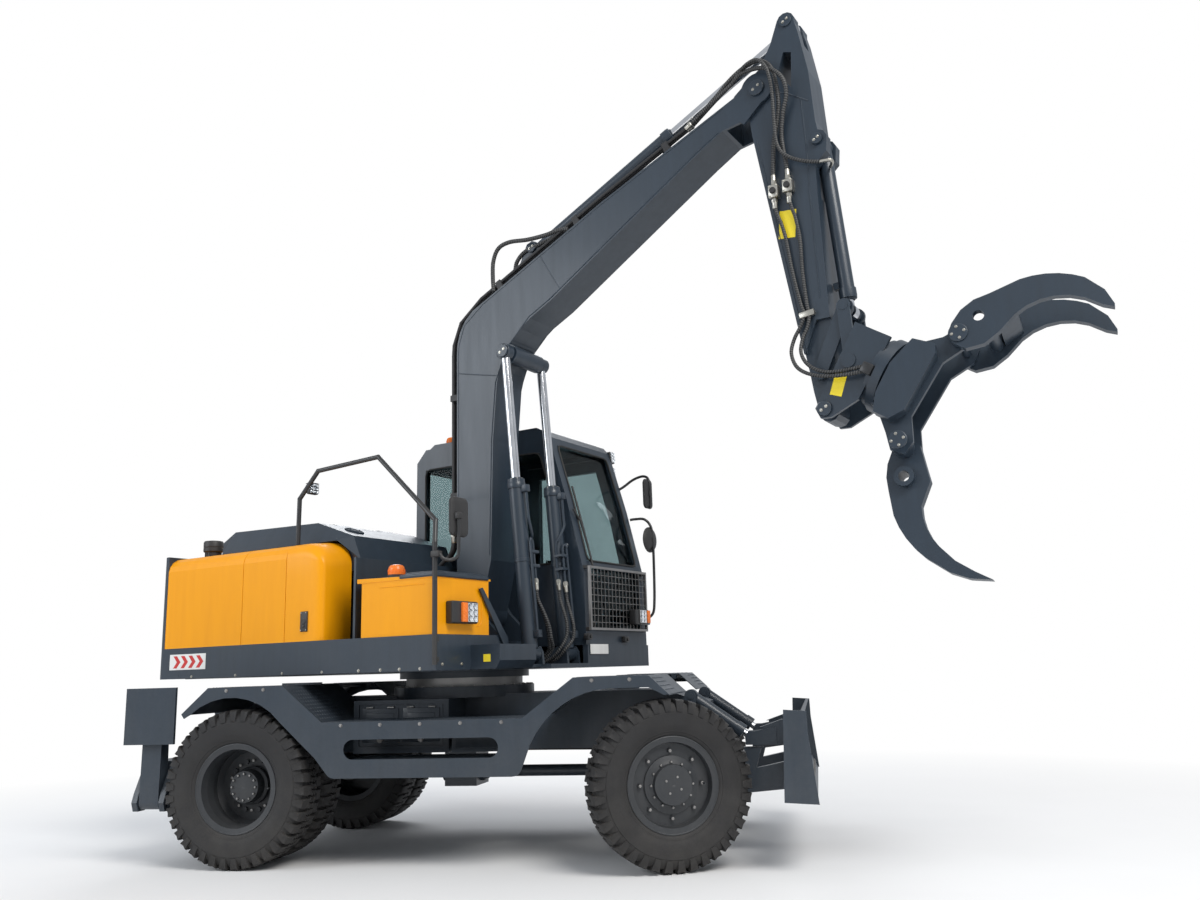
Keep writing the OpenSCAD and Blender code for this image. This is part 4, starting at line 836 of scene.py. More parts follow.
def boltShape(name, sides, head, washer, tall):
    # A screw head on its washer, standing on the XY plane
    bm = bmesh.new()
    addRing(bm, (0, 0, 0), (0, 0, 1), (washer, washer * 0.96, head * 1.02), (0.0, tall * 0.25, tall * 0.27), 12)
    addRing(bm, (0, 0, 0), (0, 0, 1), (head, head, head * 0.86, 0.0), (tall * 0.2, tall * 0.9, tall, tall), sides)
    return shapeObject(name, bm)


bolt = boltShape("boltHead", 6, 0.5, 0.72, 0.42)
plug = boltShape("plugHead", 12, 0.5, 0.58, 0.3)


def bolts(name, rows, place, body, material, shape=bolt):
    # rows holds (position, normal, width) for every screw
    mesh = bpy.data.meshes.new(name)
    mesh.from_pydata([tuple(place @ Vector(p)) for p, n, w in rows], [], [])
    mesh.attributes.new("turn", "FLOAT_VECTOR", "POINT")
    mesh.attributes.new("size", "FLOAT", "POINT")
    for i, (p, n, w) in enumerate(rows):
        direction = (place.to_3x3() @ Vector(n)).normalized()
        mesh.attributes["turn"].data[i].vector = direction.to_track_quat("Z", "Y").to_euler()
        mesh.attributes["size"].data[i].value = w
    made = runGroup(name, mesh, placedCopies, {"Shape": shape, "Finish": material})
    return pieceFromMesh(name, made, body, None, 30)


def hose(name, points, radius, ends, material, between=None):
    # A free hose through the given points. ends names the bodies meant to hold it, but only the first is used, and only
    # when between is not given. With between given, the hose stays fixed where it lies, held by no body. The two points
    # that between names, where the hose would start and stop to bend, are not used.
    steps = 6
    line = smoothPath(points, steps)
    mesh = straightTubes(name, [line], radius, 10)
    obj = link(bpy.data.objects.new(name, mesh))
    mesh.materials.append(material)
    for polygon in mesh.polygons:
        polygon.use_smooth = True
    mesh.set_sharp_from_angle(angle=math.radians(40))
    if between:
        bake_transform(obj)
    else:
        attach(obj, ends[0])


# Tyres

tyreLook = {"pitches": 38, "grooveRadius": 0.507, "halfWidth": 0.1348, "radius": 0.5266, "blockShift": 0.019,
    "blockTurn": 0.35}


def tyreProfile(look):
    # Radius and offset from one bead over the tread to the other
    h = look["halfWidth"]
    half = [(0.267, 0.06), (0.272, 0.084), (0.3006, 0.0915), (0.302, 0.104), (0.312, 0.113), (0.322, 0.1155),
        (0.326, 0.1205), (0.334, 0.1212), (0.342, 0.1262), (0.375, 0.1318), (0.41, h - 0.001), (0.44, h - 0.0012),
        (0.4425, h - 0.0042), (0.452, h - 0.0052), (0.478, h - 0.012), (0.497, h - 0.026), (0.505, h - 0.05),
        (look["grooveRadius"], 0.04)]
    return [(r, -y) for r, y in half] + [(r, y) for r, y in reversed(half)]


def taperedBlock(bm, low, high, inset, place):
    # A block around the Z axis that narrows upwards
    verts = []
    for z, shrink in ((low[2], 0.0), (high[2], inset)):
        x0, x1 = low[0] + shrink, high[0] - shrink
        y0, y1 = low[1] + shrink * 0.6, high[1] - shrink * 0.6
        verts += [bm.verts.new(place @ Vector((x, y, z))) for x, y in ((x0, y0), (x1, y0), (x1, y1), (x0, y1))]
    for ids in ((0, 3, 2, 1), (4, 5, 6, 7), (0, 1, 5, 4), (1, 2, 6, 5), (2, 3, 7, 6), (3, 0, 4, 7)):
        bm.faces.new([verts[i] for i in ids])


def shoulderLug(bm, side, phase, look):
    # One shoulder block with its scooped outer face, in sections from the tread to the sidewall
    h, r0 = look["halfWidth"], look["radius"]
    stations = [(r0, 0.04, 0.03), (r0 - 0.0005, 0.082, 0.031), (r0 - 0.003, h - 0.022, 0.029),
        (0.516, h - 0.0065, 0.026), (0.494, h - 0.0012, 0.0235), (0.47, h, 0.0195), (0.449, h - 0.0005, 0.017)]
    inner = [(0.5, 0.04), (0.5, 0.082), (0.5, h - 0.032), (0.494, h - 0.03), (0.48, h - 0.02), (0.462, h - 0.012),
        (0.446, h - 0.008)]
    turn = Matrix.Rotation(phase, 4, "Y")
    rings = []
    for (r, y, w), (ri, yi) in zip(stations, inner):
        scoop = 0.006 if r > 0.48 and y > 0.1 else 0.0
        cross = [(-w * 1.1, ri, yi), (-w, r, y), (0.0, r - scoop * 0.4, y - scoop), (w, r, y), (w * 1.1, ri, yi)]
        rings.append([bm.verts.new(turn @ Vector((x, side * yy, rr))) for x, rr, yy in cross])
    for a, b in zip(rings, rings[1:]):
        for i in range(4):
            bm.faces.new((a[i], a[i + 1], b[i + 1], b[i]))
    bm.faces.new(rings[0])
    bm.faces.new(list(reversed(rings[-1])))


def tyreMesh(name, look):
    carcass = bmesh.new()
    radii, offsets = zip(*tyreProfile(look))
    addRing(carcass, (0, 0, 0), (0, 1, 0), radii, offsets, 96)
    bmesh.ops.recalc_face_normals(carcass, faces=carcass.faces)
    pitch = 2 * math.pi / look["pitches"]
    lugs = bmesh.new()
    for side, phase in ((1, 0.0), (-1, pitch / 2)):
        shoulderLug(lugs, side, phase, look)
        for shift in (0.25, 0.75):
            taperedBlock(lugs, (-0.0175, -0.0165, 0.5), (0.0175, 0.0165, look["radius"]), 0.002,
                Matrix.Rotation(phase + pitch * shift * side, 4, "Y")
                @ Matrix.Translation((0, side * look["blockShift"], 0))
                @ Matrix.Rotation(side * look["blockTurn"], 4, "Z"))
    tread = runGroup("tread", bpy.data.meshes.new("tread"), ringCopies, {"Shape": shapeObject("treadPitch", lugs),
        "Count": look["pitches"], "Phase": 0.0, "Finish": tyreRubber})
    return joinMeshes(name, [meshFrom("carcass", carcass), tread])


tyreBase = tyreMesh("tyre", tyreLook)
print("tyre mesh faces:", len(tyreBase.polygons))


def wheelPlace(side, front, offset):
    # Where a wheel stands, its outside at +Y for the left side
    turned = mirrored if side < 0 else straight
    if front:
        x, z = machine["frontAxle"]
        return (Matrix.Translation((x, side * machine["kingPin"], z)) @ Matrix.Rotation(machine["steer"], 4, "Z")
            @ turned @ Matrix.Translation((0, offset, 0)))
    x, z = machine["rearAxle"]
    return Matrix.Translation((x, 0, z)) @ turned @ Matrix.Translation((0, offset, 0))


def placedMesh(name, mesh, place):
    bm = bmesh.new()
    bm.from_mesh(mesh)
    bm.transform(place)
    if place.determinant() < 0:
        bmesh.ops.reverse_faces(bm, faces=bm.faces)
    return meshFrom(name, bm)


wheelSets = [
    ("tyres_rear_right", "wheel_rear_right", -1, False, (1.082, 0.762)),
    ("tyres_rear_left", "wheel_rear_left", 1, False, (1.082, 0.762)),
    ("tyre_front_right", "wheel_front_right", -1, True, (0.205,)),
    ("tyre_front_left", "wheel_front_left", 1, True, (0.205,)),
]
for cadNode, body, side, front, offsets in wheelSets:
    for number, offset in enumerate(offsets):
        phase = Matrix.Rotation(0.37 * number + 0.05 * side, 4, "Y")  # No two treads start at the same angle
        name = f"{cadNode}Tread{number}"
        mesh = placedMesh(name, tyreBase, wheelPlace(side, front, offset) @ phase)
        piece = pieceFromMesh(name, mesh, body, tyreRubber, smooth=28)
        if number == 0:
            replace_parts(piece, cadNode)
print("tyres made")

# Wheels: rings on the rim, nuts, hub screws and a valve

rimLook = {
    "face": 0.1075,
    "edges": ((0.2945, 0.0045, -0.0035), (0.2755, 0.0035, -0.0085), (0.262, 0.003, -0.02)),  # Radius, width, shift
    "valve": {True: 0.21, False: 0.235},
    # Circle, depth, count, width and first angle of the screws on front and rear wheels
    "screws": {
        True: ((0.205, 0.0655, 8, 0.017, 0.0), (0.138, 0.0835, 12, 0.012, 0.0), (0.055, 0.1165, 4, 0.014, 0.5)),
        False: ((0.168, -0.1225, 10, 0.018, 0.0), (0.088, 0.0015, 12, 0.012, 0.0)),
    },
}


def rimDetails(body, front, place, look):
    bm = bmesh.new()
    face = look["face"]
    for radius, width, shift in look["edges"]:
        loop = circle(8, width)
        loop.append(loop[0])
        addRing(bm, (0, face + shift, 0), (0, 1, 0), [radius + c for c, s in loop], [s for c, s in loop], 72)
    addRing(bm, (look["valve"][front], face - 0.03, 0.0), (0.15, 1, 0), (0.0, 0.006, 0.006, 0.004, 0.0),
        (-0.03, -0.03, 0.02, 0.024, 0.024), 10)
    finishPiece(f"{body}Rings", bm, place, body, paint["rimPaint"])
    rows = [((s, depth, c), (0, 1, 0), width) for radius, depth, count, width, phase in look["screws"][front]
        for c, s in circle(count, radius, phase)]
    bolts(f"{body}Studs", rows, place, body, bareSteel, plug)


for cadNode, body, side, front, offsets in wheelSets:
    rimDetails(body, front, wheelPlace(side, front, offsets[0]), rimLook)
print("wheel details made")

# Raised dots of the non-slip sheets on the fenders and steps

dotShape = bmesh.new()
addRing(dotShape, (0, 0, 0), (0, 0, 1), (0.0085, 0.006, 0.0), (0.0, 0.0022, 0.0024), 8)
dot = shapeObject("gripDot", dotShape)
stepLook = {"outer": 1.2045, "inner": 0.695, "stepInner": 0.735, "stepTop": 0.955, "pitch": 0.036, "margin": 0.025,
    "sink": 0.0003, "line": [(-1.662, 1.03), (-1.465, 1.205), (-0.905, 1.205), (-0.607, 0.955), (0.8, 0.955),
    (1.145, 1.205), (1.643, 1.205), (1.77, 1.085)]}


def gripSheet(origin, along, across, look):
    # Positions of the dots on one flat sheet, every second row shifted
    o, a, c = Vector(origin), Vector(along), Vector(across)
    pitch, margin = look["pitch"], look["margin"]
    normal = a.cross(c).normalized()
    countA = int((a.length - 2 * margin) / pitch)
    countC = int((c.length - 2 * margin) / pitch)
    rows = []
    for i in range(countA + 1):
        for k in range(countC + 1 - i % 2):
            place = o + a.normalized() * (margin + i * pitch) + c.normalized() * (margin + (k + 0.5 * (i % 2)) * pitch)
            rows.append((tuple(place), tuple(normal), 1.0))
    return rows


def makeGripSheets(look):
    rows = []
    for (x0, z0), (x1, z1) in zip(look["line"], look["line"][1:]):
        inner = look["stepInner"] if z0 == z1 == look["stepTop"] else look["inner"]
        for y in (-look["outer"], inner):
            rows += gripSheet((x0, y, z0 - look["sink"]), (x1 - x0, 0, z1 - z0), (0, look["outer"] - inner, 0), look)
    for y in (-1.2, 0.775):  # The low treads
        rows += gripSheet((-0.43, y, 0.7047), (1.06, 0, 0), (0, 0.425, 0), look)
    bolts("stepGripDots", rows, straight, "undercarriage", paint["slatePaint"], dot)


makeGripSheets(stepLook)

# Screws along the fenders and the bars under them

trimLook = {"screw": 0.018, "screwPitch": 0.24, "face": 1.2118, "bars": (-1.42, -0.95, 1.19, 1.6), "barHalf": 0.02}


def makeStepTrim(look):
    bm = bmesh.new()
    rows = []
    for side in (-1, 1):
        for (x0, z0), (x1, z1) in zip(stepLook["line"], stepLook["line"][1:]):
            if z0 == z1:
                count = max(2, int((x1 - x0) / look["screwPitch"]))
                rows += [((x0 + (x1 - x0) * (i + 0.5) / count, side * look["face"], z0 - 0.022), (0, side, 0),
                    look["screw"]) for i in range(count)]
        y0, y1 = sorted((side * 0.33, side * 1.2042))
        for x in look["bars"]:
            addBox(bm, (x - look["barHalf"], y0, 1.165), (x + look["barHalf"], y1, 1.1965))
    finishPiece("fenderBars", bm, straight, "undercarriage", paint["slatePaint"], 30)
    bolts("fenderScrews", rows, straight, "undercarriage", bareSteel)


makeStepTrim(trimLook)

# Tool box doors with their frames, hinges and turn latches

boxLook = {"face": 0.7082, "depth": 0.0065, "panel": 0.011, "latch": 0.022,
    "doors": [(-0.545, -0.245, 0.775, 1.035), (-0.235, 0.065, 0.775, 1.035)]}


def makeBoxDoors(look):
    bm = bmesh.new()
    metal = bmesh.new()
    for side in (-1, 1):
        y = side * look["face"]
        for x0, x1, z0, z1 in look["doors"]:
            for inset, depth, radius in ((0.012, look["depth"], 0.003), (0.045, look["panel"], 0.005)):
                sideBox(bm, (x0 + inset, x1 - inset), (y, y + side * depth), (z0 + inset, z1 - inset), radius)
            for x in (x0 + 0.07, x1 - 0.07):
                addRing(metal, (x, y + side * 0.006, z1 - 0.006), (1, 0, 0), (0, 0.008, 0.008, 0),
                    (-0.025, -0.025, 0.025, 0.025), 10)
            x, r = (x0 + x1) / 2, look["latch"]
            addRing(metal, (x, y + side * 0.009, z0 + 0.03), (0, side, 0), (0, r, r, r - 0.004, 0),
                (0, 0, 0.005, 0.008, 0.008), 16)
            near, far = sorted((y + side * 0.009, y + side * 0.027))
            addBox(metal, (x - 0.017, near, z0 + 0.026), (x + 0.017, far, z0 + 0.034))
        y = side * 0.7002  # The small cover beside the doors
        sideBox(bm, (0.17, 0.53), (y, y + side * 0.008), (0.74, 0.915), 0.003)
        for x in (0.2, 0.5):
            addRing(metal, (x, y + side * 0.007, 0.89), (0, side, 0), (0, 0.014, 0.014, 0), (0, 0, 0.004, 0.004), 12)
    finishPiece("toolBoxDoors", bm, straight, "undercarriage", paint["slatePaint"])
    finishPiece("toolBoxLatches", metal, straight, "undercarriage", bareSteel)


makeBoxDoors(boxLook)

# Screws around the pedestal of the slewing ring

pedestalLook = {"circle": 0.52, "top": 1.1598, "count": 40, "width": 0.024}
bolts("pedestalScrews", [((c, s, pedestalLook["top"]), (0, 0, 1), pedestalLook["width"])
    for c, s in circle(pedestalLook["count"], pedestalLook["circle"])], straight, "undercarriage", bareSteel)

# Blade: bolted cutting edge, stiffening ribs at the back and the covers of its pins

bladeLook = {
    "half": 1.222, "screws": 14, "screwHalf": 1.13, "ribs": (-0.85, -0.62, -0.22, 0.22, 0.62, 0.85), "ribHalf": 0.008,
    "edge": [(2.64, 0.412), (2.6555, 0.4105), (2.6335, 0.455), (2.612, 0.512), (2.602, 0.509), (2.622, 0.452)],
    "rib": [(2.535, 0.5), (2.515, 0.66), (2.512, 0.74), (2.56, 0.9), (2.49, 0.88), (2.462, 0.74), (2.468, 0.62),
        (2.5, 0.5)],
    "cross": [(2.515, 0.66), (2.47, 0.645), (2.47, 0.665), (2.515, 0.68)],
}


def makeBladeDetails(look):
    bm = bmesh.new()
    half = look["half"]
    plateOutline(bm, look["edge"], -half, half)
    for y in look["ribs"]:
        plateOutline(bm, look["rib"], y - look["ribHalf"], y + look["ribHalf"])
    plateOutline(bm, look["cross"], 0.03 - half, half - 0.03)
    finishPiece("bladeRibs", bm, straight, "blade", paint["slatePaint"], 30)
    step = 2 * look["screwHalf"] / (look["screws"] - 1)
    rows = [((2.6285, step * i - look["screwHalf"], 0.468), (0.93, 0, 0.37), 0.03) for i in range(look["screws"])]
    bolts("bladeEdgeScrews", rows, straight, "blade", bareSteel, plug)
    caps = [((1.96, s * 0.45 + w * 0.0655, 0.47), (0, w, 0), 0.05) for s in (-1, 1) for w in (-1, 1)]
    bolts("bladePinCaps", caps, straight, "undercarriage", bareSteel, plug)


makeBladeDetails(bladeLook)

# Front and rear axles: covers and screws, joints of the drive shafts

axleLook = {"height": 0.5275, "circle": 0.1, "screws": 10, "screw": 0.016, "frontSide": 0.06}


def makeAxleCovers(look):
    z = look["height"]
    ring = circle(look["screws"], look["circle"])
    rows = [((1.64 - 0.158 * math.cos(0.35), look["frontSide"] + c, z + s), (-1, 0, 0), look["screw"]) for c, s in ring]
    rows += [((-1.24 + 0.152, c, z + s), (1, 0, 0), look["screw"]) for c, s in ring]
    bolts("axleCoverScrews", rows, straight, "undercarriage", bareSteel)
    bm = bmesh.new()
    addRing(bm, (1.5, look["frontSide"], z), (-1, 0, 0), (0.105, 0.105, 0.098, 0.07), (-0.01, 0.008, 0.01, 0.012), 32)
    addRing(bm, (-1.105, 0.0, z), (1, 0, 0), (0.125, 0.125, 0.118, 0.085, 0.075, 0.06),
        (-0.01, 0.016, 0.018, 0.03, 0.034, 0.05), 32)
    for x in (0.16, -0.14):
        addRing(bm, (x, 0, 0.52), (1, 0, 0), (0.0, 0.07, 0.07, 0.055, 0.055), (-0.025, -0.02, 0.0, 0.01, 0.03), 20)
    finishPiece("axleCovers", bm, straight, "undercarriage", paint["slatePaint"])


makeAxleCovers(axleLook)

# Brake and steering pipes under the frame

pipeLook = {"count": 4, "first": -0.2, "pitch": 0.028, "radius": 0.0075, "height": 0.692}


def makeFramePipes(look):
    paths = []
    z = look["height"]
    for k in range(look["count"]):
        y = look["first"] + look["pitch"] * k
        paths.append([(-1.05, y, z), (1.25, y, z), (1.42, y + 0.05, 0.66), (1.5, y + 0.05, 0.6)])
        paths.append([(-1.0, -y, z), (-0.2, -y, z)])
    pieceFromMesh("framePipes", tubeMesh("framePipes", paths, look["radius"], 8), "undercarriage", hoseRubber)


makeFramePipes(pipeLook)
print("undercarriage details made")

# Latch of the right engine door

latchLook = {"plate": (-0.5205, -0.4545, 1.5795, 1.7205), "face": -1.2212, "knob": 0.021, "screwInset": 0.009}


def makeLatch(look):
    x0, x1, z0, z1 = look["plate"]
    x, y, z, r = (x0 + x1) / 2, look["face"], (z0 + z1) / 2, look["knob"]
    bm = roundedBox((x0, y - 0.004, z0), (x1, y + 0.004, z1), 0.003)
    handle = bmesh.new()
    addRing(handle, (x, y - 0.0045, z), (0, -1, 0), (0, r, r, r - 0.005, r - 0.007, 0),
        (0, 0, 0.003, 0.005, 0.003, 0.003), 24)
    boxInto(handle, (x - 0.012, y - 0.011, z - 0.042), (x + 0.012, y - 0.003, z - 0.024), 0.002)
    finishPiece("doorLatchHandle", handle, upperTurn, "engine_door_right", blackPlastic)
    finishPiece("doorLatchPlate", bm, upperTurn, "engine_door_right", blackPlastic)
    inset = look["screwInset"]
    rows = [((x, y - 0.0042, z), (0, -1, 0), 0.007) for x in (x0 + inset, x1 - inset) for z in (z0 + inset, z1 - inset)]
    bolts("doorLatchScrews", rows, upperTurn, "engine_door_right", zincPlate, plug)


makeLatch(latchLook)

# Skirt: reflector plates with their arrows, screws

skirtLook = {"plate": (-1.966, -1.541, 1.344, 1.463), "face": 1.2156, "arrow": 0.058, "first": 0.045, "pitch": 0.09,
    "stem": 0.042}


def makeChevrons(look):
    x0, x1, z0, z1 = look["plate"]
    for side, label in ((-1, "Right"), (1, "Left")):
        y = side * look["face"]
        near, far = sorted((y, y + side * 0.0022))
        bm = roundedBox((x0, near, z0), (x1, far, z1), 0.0009, 1)
        finishPiece("reflectorPlate" + label, bm, upperTurn, "upper", paint["whitePaint"])
        arrows = bmesh.new()
        tip, tall, middle, stem = look["arrow"] * 0.75, look["arrow"] * 0.8, (z0 + z1) / 2, look["stem"]
        near, far = sorted((y + side * 0.0012, y + side * 0.0032))
        for k in range(4):
            x = x0 + look["first"] + k * look["pitch"]
            plateOutline(arrows, [(x, middle - tall), (x + stem, middle - tall), (x + stem + tip, middle),
                (x + stem, middle + tall), (x, middle + tall), (x + tip, middle)], near, far)
        finishPiece("reflectorArrows" + label, arrows, upperTurn, "upper", paint["redPaint"])
    rows = [((x, -1.2152, 1.2905), (0, -1, 0), 0.016) for x in (0.05, 0.25, 0.42, 0.6)]
    rows += [((x, -1.2152, 1.2905), (0, -1, 0), 0.014) for x in (-1.7, -1.2, -0.7, -0.3)]
    rows += [((0.7365, y, 1.315), (1, 0, 0), 0.016) for y in (-1.15, -0.95, -0.7, -0.5)]
    bolts("skirtScrews", rows, upperTurn, "upper", zincPlate)


makeChevrons(skirtLook)

# Engine hood: sloping sides, raised ribs, slots and the blank seat of the badge

hoodLook = {
    "top": [(-1.64, 0.205), (-0.7, 0.19), (-0.33, 0.06), (-0.25, -0.12)], "base": 2.225,
    "low": [(-1.7, 2.249), (-0.72, 2.249), (-0.42, 2.249), (-0.405, 2.243)],
    "sides": ((-0.905, -0.985), (0.165, 0.235)), "under": 2.243,
    "ribs": (-0.62, -0.12), "ribHalf": 0.09, "ribFrom": -1.56, "ribTo": -0.72,
    "slots": 12, "slotPitch": 0.034, "slotRows": 2, "slotAcross": 0.27,
    "seat": (-0.505, -0.72), "seatRadius": 0.075,
}


def hoodHeight(x):
    points = hoodLook["top"]
    for (xa, za), (xb, zb) in zip(points, points[1:]):
        if xa <= x <= xb:
            return hoodLook["base"] + za + (zb - za) * (x - xa) / (xb - xa)
    return hoodLook["base"] + points[0][1]


def makeHood(look):
    bm = bmesh.new()
    # From the hood's top edge down to the side panels
    for y0, y1 in look["sides"]:
        a = [bm.verts.new((x, y0, look["base"] + z - 0.002)) for x, z in look["top"]]
        b = [bm.verts.new((x, y1, z)) for x, z in look["low"]]
        c = [bm.verts.new((x, y0, look["under"])) for x, z in look["low"]]
        for i in range(3):
            for near, far in ((a, b), (b, c), (c, a)):
                bm.faces.new((near[i], near[i + 1], far[i + 1], far[i]))
        bm.faces.new((a[0], b[0], c[0]))
        bm.faces.new((a[3], c[3], b[3]))
    finishPiece("hoodShoulders", bm, upperTurn, "engine_hood", paint["slatePaint"], 30)
    ribs = bmesh.new()
    (xa, za), (xb, zb) = ((x, hoodHeight(x)) for x in (look["ribFrom"], look["ribTo"]))
    for y in look["ribs"]:
        plateOutline(ribs, [(xa, za - 0.002), (xb + 0.05, zb - 0.022), (xb - 0.02, zb + 0.014),
            (xa + 0.04, za + 0.014)], y - look["ribHalf"], y + look["ribHalf"])
    bmesh.ops.recalc_face_normals(ribs, faces=ribs.faces)
    bmesh.ops.bevel(ribs, geom=list(ribs.edges), offset=0.008, segments=2, profile=0.5, affect="EDGES")
    finishPiece("hoodRibs", ribs, upperTurn, "engine_hood", paint["slatePaint"])
    # Rows of slots over the cooler
    slat = bmesh.new()
    boxInto(slat, (-0.006, -0.11, -0.003), (0.012, 0.11, 0.008), 0.003, 1)
    slats = rowMesh("hoodSlats", shapeObject("hoodSlat", slat), look["slots"], (look["slotPitch"], 0, 0),
        paint["blackPaint"], look["slotRows"], (0, look["slotAcross"], 0))
    mesh = joinMeshes("hoodSlats", [slats], upperTurn @ Matrix.Translation((-1.52, -0.5, hoodHeight(-1.4) + 0.0005)))
    pieceFromMesh("hoodSlats", mesh, "engine_hood", paint["blackPaint"])
    # Six-sided seat on the front slope
    seat = bmesh.new()
    (x, y), r = look["seat"], look["seatRadius"]
    addRing(seat, (x, y, hoodHeight(x) - 0.003), (0.331, 0, 0.9436), (0.0, r, r, r - 0.011, r - 0.015, 0.0),
        (0.0, 0.0, 0.014, 0.02, 0.012, 0.012), 6)
    finishPiece("hoodSeat", seat, upperTurn, "engine_hood", paint["slatePaint"], 20)


makeHood(hoodLook)

# Air cleaner with its stepped bowl, and the short exhaust beside it

fittingsLook = {
    "x": -1.962, "base": 2.2473, "cleanerY": -0.86, "pipeY": -0.55, "grips": 16,
    "cleaner": ((0.0, 0.062, 0.062, 0.074, 0.079, 0.079, 0.076, 0.079, 0.079, 0.072, 0.05, 0.0),
        (0.0, 0.0, 0.045, 0.05, 0.056, 0.082, 0.086, 0.09, 0.128, 0.14, 0.1435, 0.1439)),
    "pipe": ((0.0, 0.046, 0.046, 0.043, 0.043, 0.046, 0.046, 0.043, 0.04, 0.04, 0.0),
        (0.0, 0.0, 0.014, 0.018, 0.1, 0.104, 0.126, 0.13, 0.1455, 0.06, 0.06)),
}


def makeHoodFittings(look):
    foot = (look["x"], look["cleanerY"], look["base"])
    dark, pipe = bmesh.new(), bmesh.new()
    addRing(dark, foot, (0, 0, 1), *look["cleaner"], 32)
    for k in range(look["grips"]):
        addBox(dark, (0.06, -0.003, 0.004), (0.066, 0.003, 0.046),
            Matrix.Translation(foot) @ Matrix.Rotation(2 * math.pi * k / look["grips"], 4, "Z"))
    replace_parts(finishPiece("airCleanerBowl", dark, upperTurn, "upper", blackPlastic), "air_intake")
    addRing(pipe, (look["x"], look["pipeY"], look["base"]), (0, 0, 1), *look["pipe"], 28)
    finishPiece("exhaustStub", pipe, upperTurn, "upper", bareSteel)


makeHoodFittings(fittingsLook)

# Work lamps, beacons and their brackets

lampLook = {
    "ribs": 6, "rows": 3, "columns": 2, "cellWide": 0.86, "cellWideBeside": 0.6, "cellTall": 0.84,
    # Place, size and whether an amber signal sits beside the lamp
    "tankLamp": ((0.8005, -0.93, 1.655), (0.062, 0.17, 0.145), True),
    "cabLamp": ((1.0785, 0.99, 1.665), (0.055, 0.17, 0.115), True),
    "roofLamps": ((0.675, 1.238, 3.085), (0.675, 1.238, 2.945)), "roofSize": (0.045, 0.075, 0.105), "roofTilt": -0.1,
    "railLamp": ((-0.6, -1.045, 2.655), (0.045, 0.09, 0.09)),
}
# Place of the foot, radius and height
beaconLook = {"tankBeacon": ((0.3, -1.12, 1.9158), 0.062, 0.088), "roofBeacon": ((-0.5, 0.45, 3.219), 0.052, 0.078)}


def workLamp(name, place, size, look, signal=False):
    # Seen from +X: deep housing, silver bowl with its small lamps, clear front, and beside them an amber signal
    d, w, h = size
    shell = bmesh.new()
    boxInto(shell, (-d, -w / 2, -h / 2), (0, w / 2, h / 2), min(0.012, d * 0.3), 3)
    for k in range(look["ribs"]):
        z = -h / 2 + h * (k + 0.7) / (look["ribs"] + 0.4)
        addBox(shell, (-d - 0.012, -w * 0.42, z), (-d + 0.004, w * 0.42, z + 0.004))
    finishPiece(name + "Shell", shell, place, "upper", blackPlastic)
    silver, cells = bmesh.new(), bmesh.new()
    wide = w * (look["cellWideBeside"] if signal else look["cellWide"])
    y0 = w * 0.43 - wide
    tall, rows, columns = h * look["cellTall"], look["rows"], look["columns"]
    r = min(wide / columns, tall / rows) * 0.5
    for i in range(rows):
        for k in range(columns):
            y, z = y0 + wide * (k + 0.5) / columns, tall * (i + 0.5) / rows - tall / 2
            addRing(silver, (0.0005, y, z), (1, 0, 0), (r, r * 0.9, r * 0.55, r * 0.3),
                (0.004, 0.0025, 0.001, 0.0006), 14)
            addRing(cells, (0.0008, y, z), (1, 0, 0), (r * 0.3, r * 0.26, 0.0), (0.0, 0.003, 0.0042), 10)
    addBox(silver, (0.0001, y0, -h * 0.43), (0.0009, y0 + wide, h * 0.43))
    finishPiece(name + "Bowls", silver, place, "upper", lampSilver)
    finishPiece(name + "Cells", cells, place, "upper", lampGlass)
    front = roundedBox((0.0055, y0 - 0.002, -h * 0.44), (0.0085, y0 + wide + 0.002, h * 0.44), 0.001, 1)
    finishPiece(name + "Front", front, place, "upper", lampGlass)
    if signal:
        amber = roundedBox((-d * 0.55, -w / 2 - 0.004, -h * 0.45), (0.0065, -w / 2 + w * 0.3, h * 0.45), 0.006)
        finishPiece(name + "Signal", amber, place, "upper", amberPlastic)


for name, turn in (("tankLamp", straight), ("cabLamp", mirrored)):
    place, size, signal = lampLook[name]
    workLamp(name, upperPlace(*place) @ turn, size, lampLook, signal)
for number, place in enumerate(lampLook["roofLamps"]):
    turn = Matrix.Rotation(lampLook["roofTilt"], 4, "Y")
    workLamp(f"roofLamp{number}", upperPlace(*place) @ turn, lampLook["roofSize"], lampLook)
place, size = lampLook["railLamp"]
workLamp("railLamp", upperPlace(*place), size, lampLook)


def scaledRing(bm, centre, axis, radius, radii, height, heights, count):
    # A turned shape given in shares of its radius and height
    addRing(bm, centre, axis, [radius * r for r in radii], [height * h for h in heights], count)


def beacon(name, place, radius, height):
    # Amber dome with its ribbed foot
    foot, dome = bmesh.new(), bmesh.new()
    scaledRing(foot, (0, 0, 0), (0, 0, 1), radius, (0.0, 1.0, 1.0, 0.93, 0.0), height, (0.0, 0.0, 0.16, 0.19, 0.19), 28)
    finishPiece(name + "Foot", foot, place, "upper", blackPlastic)
    scaledRing(dome, (0, 0, height * 0.18), (0, 0, 1), radius, (0.0, 0.93, 0.955, 0.93, 0.86, 0.72, 0.45, 0.0),
        height, (0.0, 0.0, 0.03, 0.4, 0.62, 0.74, 0.8, 0.817), 32)
    for k in range(24):
        addBox(dome, (radius * 0.9, -0.0018, 0.0), (radius * 0.965, 0.0018, height * 0.38),
            Matrix.Translation((0, 0, height * 0.22)) @ Matrix.Rotation(2 * math.pi * k / 24, 4, "Z"))
    finishPiece(name + "Dome", dome, place, "upper", amberPlastic)


